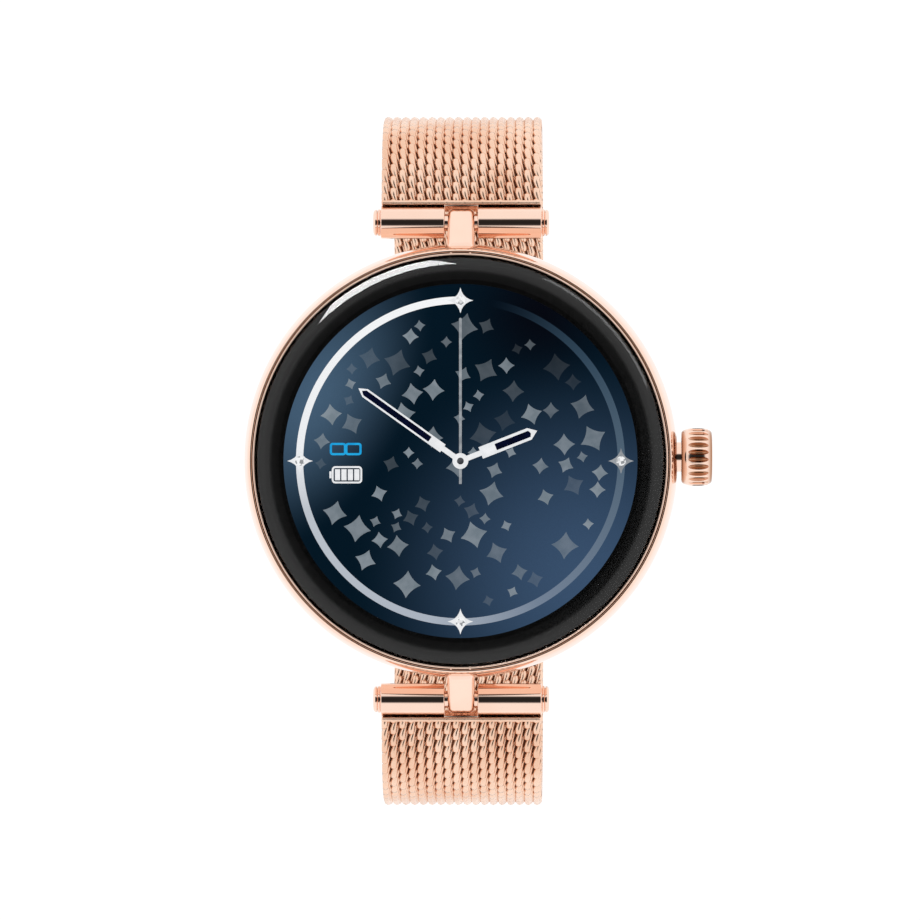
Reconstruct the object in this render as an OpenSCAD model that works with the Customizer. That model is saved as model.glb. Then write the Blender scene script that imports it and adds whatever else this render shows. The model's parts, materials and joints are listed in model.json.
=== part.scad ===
// Round smartwatch on a woven steel mesh strap.
// The dial faces +Z, 12 o'clock is +Y and the crown is on +X.
// The origin is the centre of the flat back of the case.
// The strap is closed: its two halves meet at the magnetic clasp under the case.

/* [Case] */
// Largest radius of the barrel-shaped case
case_r = 18.97; // [18.8:0.01:19.3]
// Height of the case's upper edge above the back
case_top = 9.55; // [9.4:0.05:9.8]
// Thickness of the back cover
back_t = 0.75; // [0.6:0.05:0.8]
// Radius of the hollow inside the case
hollow_r = 16.4; // [16.35:0.01:16.45]

/* [Glass and screen] */
// Radius of the cover glass
glass_r = 17.82; // [17.7:0.01:17.83]
// Height of the top of the cover glass above the back
glass_top = 10.25; // [10.2:0.05:10.6]
// Radius of the lit part of the screen
screen_r = 15.57; // [15:0.01:15.8]

/* [Crown] */
// Height of the crown's axis above the back
crown_z = 5; // [4.9:0.05:5.1]
// Distance of the crown's axis from the middle, towards 12 o'clock
crown_y = 0.35; // [0:0.05:0.4]
// Length of the crown's knob
knob_l = 2.7; // [2.4:0.1:3]
// Largest radius of the crown's knob
knob_r = 2.52; // [2.3:0.01:2.6]
// Number of flutes around the knob
flutes = 24; // [16:1:26]
// Travel of the crown when it is pressed
crown_travel = 0.35; // [0.2:0.05:0.4]

/* [Strap] */
// Width of the mesh strap
strap_w = 14; // [14:0.1:14.2]
// Thickness of the mesh strap
strap_t = 1.6; // [1.4:0.05:1.6]
// Distance of each strap bar from the middle of the dial
bar_y = 20.9; // [20.8:0.05:21.1]
// Height of each strap bar above the back
bar_z = 4; // [3.9:0.05:4.1]
// Angle at which the strap leaves its bar, below level
leave_deg = 14; // [12:0.5:16]
// Largest distance of the strap's middle layer from the dial's middle
reach_y = 30.2; // [29.8:0.1:30.4]
// Radius of the strap's upper bend, at the middle layer
bend_r = 6.7; // [6.4:0.1:7]
// Radius of the strap's long side curve
side_r = 60; // [50:1:70]
// Length of the flat stretch under the wrist, from the middle
flat_l = 12.5; // [12.5:0.1:13]

/* [Clasp] */
// Width of the clasp blocks
clasp_w = 16; // [15.8:0.1:17]
// Length of each clasp block along the strap
clasp_l = 8; // [7.9:0.1:8]
// Gap between the two blocks when they are held closed
clasp_gap = 0.3; // [0.2:0.05:0.4]

/* [Hidden] */
$fn = 64;
FULL = 360;
smooth = 128;

// Heights of the layers inside the case
window_t = 0.9;
hollow_z0 = 1.7;
boss_z0 = 1.9;
boss_top = 4.6;
board_z = 5.5;
board_t = 0.8;
board_r = 15.1;
seat_z = 7.95;
screen_z = 8.45;
glass_z = 8.66;

// Bezel ring that holds the glass
bezel_in = 17.86;
bezel_out = 18.06;
bezel_top = 9.66;
pocket_r = 18.14;

// Screws of the back
screw_r = 14;
screw_count = 4;

// Charging contacts and magnets in the back
charge_y = 10.6;
contact_x = 2;
charge_magnet_x = 6;

// Axis of the vibration motor
motor_y = -11.6;
motor_z = 3.3;

// Crown
tube_r = 1.7;
collar_r = 2.18;
collar_x0 = 18.2;
collar_x1 = 18.85;
boss_r = 1.3;
shaft_r = 0.8;
knob_x = 19.25;
stem_x = 13.95;
clip_x = 15.55;
plunger_x = 12.6;

// Strap bar
bar_r = 0.75;
sleeve_r = 1.4;
sleeve_x0 = 1.45;
sleeve_x1 = 7.05;
tongue_w = 2.35;
tongue_end_r = 1.2;
mesh_u0 = 1.5;
mesh_gap = 0.27;

// The strap's middle layer runs from a bar at leave_deg below level, bends
// down at bend_r, follows side_r, turns under at under_r and ends level.
side_a = 80;
under_a = 105;
sides_y = bend_r * (sin(side_a) - sin(leave_deg)) + side_r * (1 - sin(side_a));
lead_l = (reach_y - bar_y - sides_y) / cos(leave_deg);
lead_end = [bar_y + lead_l * cos(leave_deg), bar_z - lead_l * sin(leave_deg)];
bend_end = turned(lead_end, leave_deg, side_a, bend_r);
side_end = turned(bend_end, side_a, under_a, side_r);
under_r = (side_end[0] - flat_l) / sin(under_a);
under_end = turned(side_end, under_a, 180, under_r);
clasp_z = under_end[1];

// The strap flexes at these places, each given as the angle below level.
flex_a = [30.5, 63.5, 92.5, 117.5, 142.5, 167.5];
flex_count = len(flex_a);

// Clasp: ends of each block, its lowest and highest faces, and its magnet
near_y = clasp_gap / 2;
far_y = near_y + clasp_l;
block_low = clasp_z - 2.4;
block_high = clasp_z + 1.55;
magnet_z = clasp_z - 1.6;
magnet_x = 5;

// Axis of the lock lever
lever_y = 6.05;
lever_z = clasp_z - 1.6;
lever_pin_r = 0.4;
lever_pin_x = 7.7;

// Point reached from p by turning from angle a0 to a1 below level at radius r
function turned(p, a0, a1, r) =
    [p[0] + r * (sin(a1) - sin(a0)), p[1] + r * (cos(a1) - cos(a0))];

// Point of the strap's middle layer where it runs at angle a below level
function bent(a) =
    a < side_a ? turned(lead_end, leave_deg, a, bend_r) :
    a < under_a ? turned(bend_end, side_a, a, side_r) :
    turned(side_end, under_a, a, under_r);

// That point moved out of the loop by w
function layer(a, w) = bent(a) + w * [sin(a), cos(a)];

// Angle turned through in the length of strap s at the place with angle a
function turn_of(s, a) =
    s / (a < side_a ? bend_r : a < under_a ? side_r : under_r) * 180 / PI;

// Angles from a0 to a1 at which a curved stretch of strap gets its edges
function stations(a0, a1) =
    concat([a0], [for (a = [ceil((a0 + 1) / 5) * 5 : 5 : a1 - 1]) a], [a1]);

// Both faces of the stretch of strap that runs from angle a0 to a1
function stretch(a0, a1) = concat(
    [for (a = stations(a0, a1)) layer(a, strap_t / 2)],
    [for (a = stations(-a1, -a0)) layer(-a, -strap_t / 2)]
);

// A tube or disc standing on its end, from z0 to z1
module ring(r_out, r_in, z0, z1) {
    difference() {
        translate([0, 0, z0]) cylinder(r = r_out, h = z1 - z0);
        if (r_in > 0) {
            translate([0, 0, z0 - 1]) cylinder(r = r_in, h = z1 - z0 + 2);
        }
    }
}

// A round bar along X, from x0 to x1
module bar_x(r, x0, x1) {
    translate([x0, 0, 0]) rotate([0, 90, 0]) cylinder(r = r, h = x1 - x0);
}

// A block from its lowest corner a to its highest corner b
module block(a, b) {
    translate(a) cube(b - a);
}

// A profile drawn in Y and Z, as wide as w across X
module across(w, points) {
    translate([-w / 2, 0, 0]) rotate([90, 0, 90]) linear_extrude(w) polygon(points);
}

// Puts a shape at each screw of the back
module at_screws() {
    for (k = [0 : screw_count - 1]) {
        rotate([0, 0, (k + 0.5) * FULL / screw_count]) translate([screw_r, 0, 0]) children();
    }
}

// Puts a shape on the crown's axis
module at_crown() {
    translate([0, crown_y, crown_z]) children();
}

// Puts a shape on a strap bar, with +Y along the strap as it leaves
module at_bar() {
    translate([0, bar_y, bar_z]) rotate([-leave_deg, 0, 0]) children();
}

// ---------------------------------------------------------------- the case

// Central lug between the two sleeves of a strap bar
module tongue() {
    top_y = 18.75;
    top_z = 8;
    across(tongue_w, [
        [17.2, 2.9], [bar_y, bar_z - tongue_end_r], [bar_y + 0.85, bar_z + 0.85],
        [bar_y, bar_z + 1.75], [top_y, top_z], [17.2, top_z]
    ]);
    translate([0, bar_y, bar_z]) bar_x(tongue_end_r, -tongue_w / 2, tongue_w / 2);
}

module case_body() {
    color([0.93, 0.68, 0.56]) difference() {
        union() {
            rotate_extrude($fn = smooth) polygon([
                [16.05, 0.8], [17.5, 0.8], [18.2, 1.4], [18.7, 2.8], [case_r - 0.04, 4.4],
                [case_r, 5.4], [case_r - 0.07, 6.8], [18.72, 8.1], [18.52, 9.05],
                [18.3, case_top], [pocket_r, case_top], [pocket_r, seat_z],
                [hollow_r, seat_z], [hollow_r, hollow_z0], [16.05, hollow_z0]
            ]);
            at_screws() {
                ring(1.4, 0, boss_z0, boss_top);
                block([0, -1, boss_z0], [2.7, 1, boss_top]);
            }
            tongue();
            mirror([0, 1, 0]) tongue();
        }
        at_screws() translate([0, 0, boss_z0 - 1]) cylinder(r = 0.5, h = 3.4);
        at_crown() {
            bar_x(tube_r, 14, 20);
            bar_x(collar_r + 0.04, collar_x0, 20);
        }
        for (side = [1, -1]) {
            translate([0, side * bar_y, bar_z]) bar_x(bar_r + 0.04, -2, 2);
        }
    }
}

module bezel_ring() {
    color([0.96, 0.74, 0.62]) rotate_extrude($fn = smooth) polygon([
        [16.7, 8], [bezel_out, 8], [bezel_out, bezel_top - 0.06],
        [bezel_out - 0.06, bezel_top], [bezel_in, bezel_top], [bezel_in, 8.5], [16.7, 8.5]
    ]);
}

module cover_glass() {
    color([0.6, 0.65, 0.7, 0.35]) rotate_extrude($fn = smooth) polygon([
        [0, glass_z], [glass_r - 0.2, glass_z], [glass_r, 8.85], [glass_r, 9.35],
        [glass_r - 0.25, 9.68], [glass_r - 0.75, 9.95], [16.1, 10.15],
        [14.8, glass_top], [0, glass_top]
    ]);
}

module glass_gasket() {
    color([0.1, 0.1, 0.1]) ring(17.7, 16.75, 8.5, 8.6);
}

module border_film() {
    color([0.05, 0.05, 0.06]) ring(17.6, screen_r, 8.6, glass_z);
}

module display_panel() {
    color([0.02, 0.06, 0.12]) {
        ring(16.3, 0, 7.6, screen_z);
        ring(15.6, 0, 7.3, 7.6);
    }
}

module inner_frame() {
    color([0.2, 0.2, 0.22]) difference() {
        union() {
            ring(16.3, 15.2, 4.7, 7.2);
            ring(15.3, 14.2, 4.7, board_z);
        }
        block([11.5, crown_y - 2.9, 4], [17, crown_y + 2.9, 8]);
        block([-2.7, 12.5, 6.4], [2.7, 15.6, 8]);
    }
}

module main_board() {
    color([0.05, 0.35, 0.2]) difference() {
        ring(board_r, 0, board_z, board_z + board_t);
        block([11.1, crown_y - 2.4, 5], [16, crown_y + 2.4, 7]);
        for (a = [70, 200, 300]) {
            rotate([0, 0, a]) translate([13.6, 0, 5]) cylinder(r = 0.6, h = 2);
        }
    }
}

module shield_can() {
    wall = 0.2;
    color([0.75, 0.76, 0.78]) difference() {
        block([-11, -6, board_z + board_t], [1, 8, 7.1]);
        block([-11 + wall, -6 + wall, board_z], [1 - wall, 8 - wall, 7.1 - wall]);
    }
}

module radio_module() {
    color([0.6, 0.62, 0.65]) block([3, -6, board_z + board_t], [9, 1, 7]);
    color([0.9, 0.9, 0.88]) block([3.6, 1.4, board_z + board_t], [8.4, 2.6, 6.8]);
}

module display_flex() {
    color([0.75, 0.45, 0.15]) {
        block([-2.4, 13.2, board_z + board_t], [2.4, 13.4, 7.3]);
        block([-2.4, 11.4, board_z + board_t], [2.4, 13.4, 6.5]);
    }
}

module battery() {
    color([0.75, 0.78, 0.82]) block([-10.4, -7.5, 2.05], [10.4, 7.5, 4.6]);
    color([0.9, 0.75, 0.2]) block([-3, 7.5, 3], [3, 8.3, 4.2]);
}

module sensor_board() {
    color([0.05, 0.3, 0.18]) ring(6, 0, 1.25, 1.75);
}

module sensor_leds() {
    color([0.3, 0.9, 0.4]) for (x = [-2.7, 2.7]) {
        block([x - 0.55, -0.55, window_t], [x + 0.55, 0.55, 1.25]);
    }
}

module photodiode() {
    color([0.15, 0.15, 0.3]) block([-1, -1, window_t], [1, 1, 1.25]);
}

module sensor_window() {
    color([0.05, 0.05, 0.06, 0.6]) ring(6.5, 0, 0, window_t);
}

module sensor_flex() {
    color([0.75, 0.45, 0.15]) {
        block([-11.5, -1.5, 1.8], [-4, 1.5, 1.95]);
        block([-11.5, -1.5, 1.8], [-11.35, 1.5, board_z]);
    }
}

module back_cover() {
    color([0.15, 0.15, 0.16]) difference() {
        rotate_extrude($fn = smooth) polygon([
            [6.5, 0], [16.9, 0], [17.4, 0.4], [17.4, back_t], [15.95, back_t],
            [15.95, 1], [15.5, 1], [15.5, 1.4], [15.95, 1.4], [15.95, 1.65],
            [15.1, 1.65], [15.1, back_t], [6.5, back_t]
        ]);
        at_screws() {
            translate([0, 0, -1]) cylinder(r = 0.55, h = 3);
            translate([0, 0, -1]) cylinder(r = 1, h = 1.45);
        }
        for (x = [-contact_x, contact_x]) {
            translate([x, charge_y, -1]) cylinder(r = 1, h = 3);
        }
    }
}

module back_gasket() {
    color([0.1, 0.1, 0.1]) ring(16.02, 15.52, 1.02, 1.38);
}

module back_screws() {
    color([0.8, 0.8, 0.82]) at_screws() difference() {
        union() {
            ring(0.95, 0, 0.1, 0.45);
            ring(0.46, 0, 0.45, 4.2);
        }
        block([-0.6, -0.1, 0], [0.6, 0.1, 0.25]);
        block([-0.1, -0.6, 0], [0.1, 0.6, 0.25]);
    }
}

module charge_contacts() {
    color([0.95, 0.8, 0.4]) for (x = [-contact_x, contact_x]) {
        translate([x, charge_y, 0]) {
            cylinder(r = 1, h = back_t);
            translate([0, 0, back_t]) cylinder(r = 0.6, h = 0.8);
        }
    }
}

module charge_magnets() {
    color([0.7, 0.7, 0.72]) for (x = [-charge_magnet_x, charge_magnet_x]) {
        translate([x, charge_y, back_t]) cylinder(r = 1.4, h = 1);
    }
}

// ------------------------------------------------- the vibration motor

module motor_can() {
    color([0.8, 0.8, 0.8]) translate([0, motor_y, motor_z]) difference() {
        bar_x(1.5, -5, 1.2);
        bar_x(0.45, -4, 2);
    }
}

module motor_shaft() {
    color([0.6, 0.6, 0.62]) translate([0, motor_y, motor_z]) bar_x(0.4, -3.8, 4.4);
}

module motor_weight() {
    color([0.5, 0.5, 0.52]) translate([0, motor_y, motor_z]) difference() {
        bar_x(1.45, 1.6, 4.2);
        bar_x(0.4, 1, 5);
        block([1, -2, 0.35], [5, 2, 2]);
    }
}

// ------------------------------------------------------------ the crown

module crown_tube() {
    color([0.85, 0.6, 0.48]) at_crown() difference() {
        union() {
            bar_x(tube_r, 15.9, collar_x0);
            bar_x(collar_r, collar_x0, collar_x1);
        }
        bar_x(boss_r + 0.06, 17, 20);
        bar_x(shaft_r + 0.06, 15, 18);
    }
}

module crown_stem() {
    color([0.8, 0.58, 0.46]) at_crown() difference() {
        union() {
            bar_x(shaft_r, stem_x, 17.6);
            bar_x(boss_r, 17.6, 20.9);
        }
        difference() {
            bar_x(1.1, clip_x - 0.05, clip_x + 0.35);
            bar_x(0.5, 15, 17);
        }
        difference() {
            bar_x(1.6, 18.1, 18.5);
            bar_x(1, 17.8, 19);
        }
    }
}

module crown_o_ring() {
    color([0.08, 0.08, 0.08]) at_crown() translate([18.3, 0, 0]) rotate([0, 90, 0])
        rotate_extrude($fn = 48) translate([1.16, 0]) circle(r = 0.15, $fn = 24);
}

module crown_clip() {
    color([0.5, 0.5, 0.52]) at_crown() difference() {
        bar_x(1.45, clip_x, clip_x + 0.3);
        bar_x(0.56, 15, 17);
        block([15, 0, -0.56], [17, 2, 0.56]);
    }
}

module crown_knob() {
    x_end = knob_x + knob_l;
    color([0.93, 0.68, 0.56]) at_crown() difference() {
        rotate([0, 90, 0]) rotate_extrude($fn = 96) polygon([
            [boss_r, knob_x], [knob_r - 0.42, knob_x], [knob_r - 0.3, knob_x + 0.12],
            [knob_r - 0.1, knob_x + 0.6], [knob_r, knob_x + knob_l / 2],
            [knob_r - 0.1, x_end - 0.6], [knob_r - 0.3, x_end - 0.12],
            [knob_r - 0.42, x_end], [0, x_end], [0, 20.95], [boss_r, 20.95]
        ]);
        for (k = [0 : flutes - 1]) {
            rotate([k * FULL / flutes, 0, 0]) translate([0, 0, knob_r + 0.06])
                bar_x(0.26, knob_x + 0.35, x_end - 0.35);
        }
    }
}

module switch_body() {
    color([0.12, 0.12, 0.13]) at_crown() difference() {
        block([11.3, -2, -1.2], [13.4, 2, 1.2]);
        bar_x(0.66, plunger_x - crown_travel - 0.15, 14);
    }
}

module switch_plunger() {
    color([0.85, 0.2, 0.15]) at_crown() bar_x(0.6, plunger_x, stem_x - 0.05);
}

// ------------------------------------------------------------ the strap

// Pin that passes through the lug and both sleeves
module bar_pin() {
    color([0.8, 0.8, 0.82]) translate([0, bar_y, bar_z]) difference() {
        bar_x(bar_r, -sleeve_x1, sleeve_x1);
        for (side = [1, -1]) {
            bar_x(0.42, side * 6 - 1.2, side * 6 + 1.2);
        }
    }
}

// The two slotted screws that close the ends of the pin
module bar_screws() {
    color([0.93, 0.68, 0.56]) translate([0, bar_y, bar_z]) for (side = [0, 1]) {
        mirror([side, 0, 0]) difference() {
            union() {
                bar_x(1.18, sleeve_x1 + 0.05, sleeve_x1 + 0.65);
                bar_x(0.4, 5, sleeve_x1 + 0.1);
            }
            block([sleeve_x1 + 0.45, -0.13, -2], [sleeve_x1 + 1, 0.13, 2]);
        }
    }
}

// The strap's two sleeves and the tab under the mesh that joins them
module end_sleeves() {
    color([0.88, 0.62, 0.5]) at_bar() difference() {
        union() {
            bar_x(sleeve_r, -sleeve_x1, sleeve_x1);
            block([-strap_w / 2, 0.7, -1.3], [strap_w / 2, 2.6, -strap_t / 2]);
        }
        bar_x(bar_r + 0.02, -10, 10);
        block([-sleeve_x0, -2, -3], [sleeve_x0, 1.38, 3]);
    }
}

// First stretch of the mesh, straight from the sleeves and then bending
module mesh_start() {
    a1 = flex_a[0] - turn_of(mesh_gap, flex_a[0]);
    out = [cos(leave_deg), -sin(leave_deg)];
    up = [sin(leave_deg), cos(leave_deg)] * strap_t / 2;
    from = [bar_y, bar_z] + mesh_u0 * out;
    color([0.9, 0.66, 0.54]) across(strap_w, concat(
        [from + up], [for (a = stations(leave_deg, a1)) layer(a, strap_t / 2)],
        [for (a = stations(-a1, -leave_deg)) layer(-a, -strap_t / 2)], [from - up]
    ));
}

// A stretch of the mesh between two of the places where it flexes
module mesh_piece(k) {
    a0 = flex_a[k - 1] + turn_of(mesh_gap, flex_a[k - 1]);
    a1 = flex_a[k] - turn_of(mesh_gap, flex_a[k]);
    color([0.9, 0.66, 0.54]) across(strap_w, stretch(a0, a1));
}

// Last stretch of the mesh, which ends level at the distance y_end
module mesh_end(y_end) {
    a0 = flex_a[flex_count - 1] + turn_of(mesh_gap, flex_a[flex_count - 1]);
    half = strap_t / 2;
    color([0.9, 0.66, 0.54]) across(strap_w, concat(
        [for (a = stations(a0, 180)) layer(a, half)],
        [[y_end, clasp_z - half], [y_end, clasp_z + half]],
        [for (a = stations(-180, -a0)) layer(-a, -half)]
    ));
}

module other_half() {
    mirror([0, 1, 0]) children();
}

// ------------------------------------------------------------ the clasp

// Pocket of a clasp magnet, or the magnet itself
module magnet_bar(x) {
    block([-x, near_y + 0.3, magnet_z - 0.5], [x, near_y + 1.3, magnet_z + 0.5]);
}

// Fixed block on the 12 o'clock half
module keeper_block() {
    half = strap_t / 2;
    color([0.93, 0.68, 0.56]) difference() {
        block([-clasp_w / 2, near_y, block_low], [clasp_w / 2, far_y, block_high]);
        block([-strap_w / 2, near_y + 1, clasp_z - half], [strap_w / 2, 10, clasp_z + half]);
        magnet_bar(magnet_x + 0.1);
    }
}

module keeper_magnet() {
    color([0.7, 0.7, 0.72]) magnet_bar(magnet_x);
}

// Block that slides along the 6 o'clock half to set the strap's length
module slider_body() {
    slot = strap_t / 2 + 0.05;
    slot_x = strap_w / 2 + 0.05;
    color([0.93, 0.68, 0.56]) other_half() difference() {
        block([-clasp_w / 2, near_y, block_low], [clasp_w / 2, far_y, block_high]);
        block([-slot_x, -1, clasp_z - slot], [slot_x, 10, clasp_z + slot]);
        block([-slot_x, near_y + 1.6, clasp_z - 4], [slot_x, far_y - 1.1, clasp_z]);
        magnet_bar(magnet_x + 0.1);
        translate([0, lever_y, lever_z]) bar_x(lever_pin_r, -lever_pin_x, lever_pin_x);
    }
}

module slider_magnet() {
    color([0.7, 0.7, 0.72]) other_half() magnet_bar(magnet_x);
}

// Lever that clamps the mesh in the sliding block
module lock_lever() {
    x = strap_w / 2 - 0.1;
    color([0.9, 0.64, 0.52]) other_half() difference() {
        union() {
            translate([0, lever_y, lever_z]) bar_x(0.7, -x, x);
            block([-x, near_y + 1.8, block_low], [x, lever_y, block_low + 1]);
        }
        translate([0, lever_y, lever_z]) bar_x(0.45, -8, 8);
        translate([0, near_y + 1.8, block_low]) bar_x(0.45, -3, 3);
    }
}

module lever_pin() {
    color([0.8, 0.8, 0.82]) other_half() translate([0, lever_y, lever_z])
        bar_x(lever_pin_r, -lever_pin_x, lever_pin_x);
}

// ------------------------------------------------------------ the nodes

case_body();
bezel_ring();
cover_glass();
glass_gasket();
border_film();
display_panel();
inner_frame();
main_board();
shield_can();
radio_module();
display_flex();
battery();
sensor_board();
sensor_leds();
photodiode();
sensor_window();
sensor_flex();
back_cover();
back_gasket();
back_screws();
charge_contacts();
charge_magnets();
motor_can();
motor_shaft();
motor_weight();
crown_tube();
crown_knob();
crown_stem();
crown_o_ring();
crown_clip();
switch_body();
switch_plunger();
bar_pin();  // upper_bar_pin
bar_screws();  // upper_bar_screws
end_sleeves();  // upper_end_sleeves
mesh_start();  // upper_mesh_0
mesh_piece(1);  // upper_mesh_1
mesh_piece(2);  // upper_mesh_2
mesh_piece(3);  // upper_mesh_3
mesh_piece(4);  // upper_mesh_4
mesh_piece(5);  // upper_mesh_5
mesh_end(near_y + 1);  // upper_mesh_6
other_half() bar_pin();  // lower_bar_pin
other_half() bar_screws();  // lower_bar_screws
other_half() end_sleeves();  // lower_end_sleeves
other_half() mesh_start();  // lower_mesh_0
other_half() mesh_piece(1);  // lower_mesh_1
other_half() mesh_piece(2);  // lower_mesh_2
other_half() mesh_piece(3);  // lower_mesh_3
other_half() mesh_piece(4);  // lower_mesh_4
other_half() mesh_piece(5);  // lower_mesh_5
other_half() mesh_end(near_y + 0.2);  // lower_mesh_6
keeper_block();
keeper_magnet();
slider_body();
slider_magnet();
lock_lever();
lever_pin();
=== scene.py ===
"""Round smartwatch on a woven mesh strap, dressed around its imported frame.

Sizes are in millimetres in the classes and become metres in the meshes.
"""

import json
import logging
import math
import random
from dataclasses import dataclass
from enum import Enum
from typing import Callable, Sequence

import bpy
import numpy as np
from mathutils import Matrix, Vector


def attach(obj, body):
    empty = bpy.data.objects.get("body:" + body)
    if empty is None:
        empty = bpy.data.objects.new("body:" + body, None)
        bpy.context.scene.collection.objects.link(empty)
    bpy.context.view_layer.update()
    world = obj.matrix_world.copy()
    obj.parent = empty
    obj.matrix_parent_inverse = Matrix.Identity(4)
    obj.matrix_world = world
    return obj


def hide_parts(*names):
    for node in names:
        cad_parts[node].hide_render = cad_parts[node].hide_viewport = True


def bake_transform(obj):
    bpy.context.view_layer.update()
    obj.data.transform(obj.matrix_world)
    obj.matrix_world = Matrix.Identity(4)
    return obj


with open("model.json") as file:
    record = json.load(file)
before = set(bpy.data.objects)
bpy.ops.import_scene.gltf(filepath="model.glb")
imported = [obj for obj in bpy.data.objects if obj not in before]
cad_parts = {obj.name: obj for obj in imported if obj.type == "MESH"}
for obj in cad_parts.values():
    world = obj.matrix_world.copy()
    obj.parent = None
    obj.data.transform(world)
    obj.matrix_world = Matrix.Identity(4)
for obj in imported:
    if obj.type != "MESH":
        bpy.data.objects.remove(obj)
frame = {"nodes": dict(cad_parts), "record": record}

MM = 0.001
FULL_TURN = 2 * math.pi
BAR_Y = 20.9
BAR_Z = 4.0
CROWN_AXIS = (0.0, 0.35, 5.0)
CLASP_Z = -40.149
STRAP_WIDTH = 14.0
STRAP_THICK = 1.6
Point2 = tuple[float, float]
Point3 = tuple[float, float, float]
Colour = tuple[float, float, float]
Stop = tuple[float, Colour, float]
Piece = bpy.types.Object
Node = bpy.types.Node
Socket = bpy.types.NodeSocket
Value = float | Colour | Socket

log = logging.getLogger("watch")


def screen_colour(red: int, green: int, blue: int) -> Colour:
    """Linear colour of a display colour given in steps of 255."""
    parts = (channel / 255 for channel in (red, green, blue))
    return tuple(p / 12.92 if p <= 0.04045 else ((p + 0.055) / 1.055) ** 2.4 for p in parts)


def polar(radius: float, degrees: float) -> Point2:
    """Point at a radius and an angle that runs anticlockwise from +X."""
    angle = math.radians(degrees)
    return radius * math.cos(angle), radius * math.sin(angle)


def smooth_line(points: Sequence[Point2], steps: int = 4) -> list[Point2]:
    """Rounds a line off into a smooth curve through the same points.

    Args:
        points: The corners of the line.
        steps: How many pieces each side is cut into.

    Returns:
        The points of the curve, with both ends of the line kept.
    """
    padded = [points[0], *points, points[-1]]
    curve: list[Point2] = []
    for a, b, c, d in zip(padded, padded[1:], padded[2:], padded[3:]):
        for step in range(steps):
            t = step / steps
            curve.append(
                tuple(
                    0.5
                    * (
                        2 * q
                        + (r - p) * t
                        + (2 * p - 5 * q + 4 * r - s) * t**2
                        + (3 * q - p - 3 * r + s) * t**3
                    )
                    for p, q, r, s in zip(a, b, c, d)
                )
            )
    return [*curve, points[-1]]


# ------------------------------------------------------------------ the bench


class Axis(Enum):
    """Direction that a turned piece is turned about."""

    X = (1.0, 0.0, 0.0)
    Z = (0.0, 0.0, 1.0)


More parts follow.
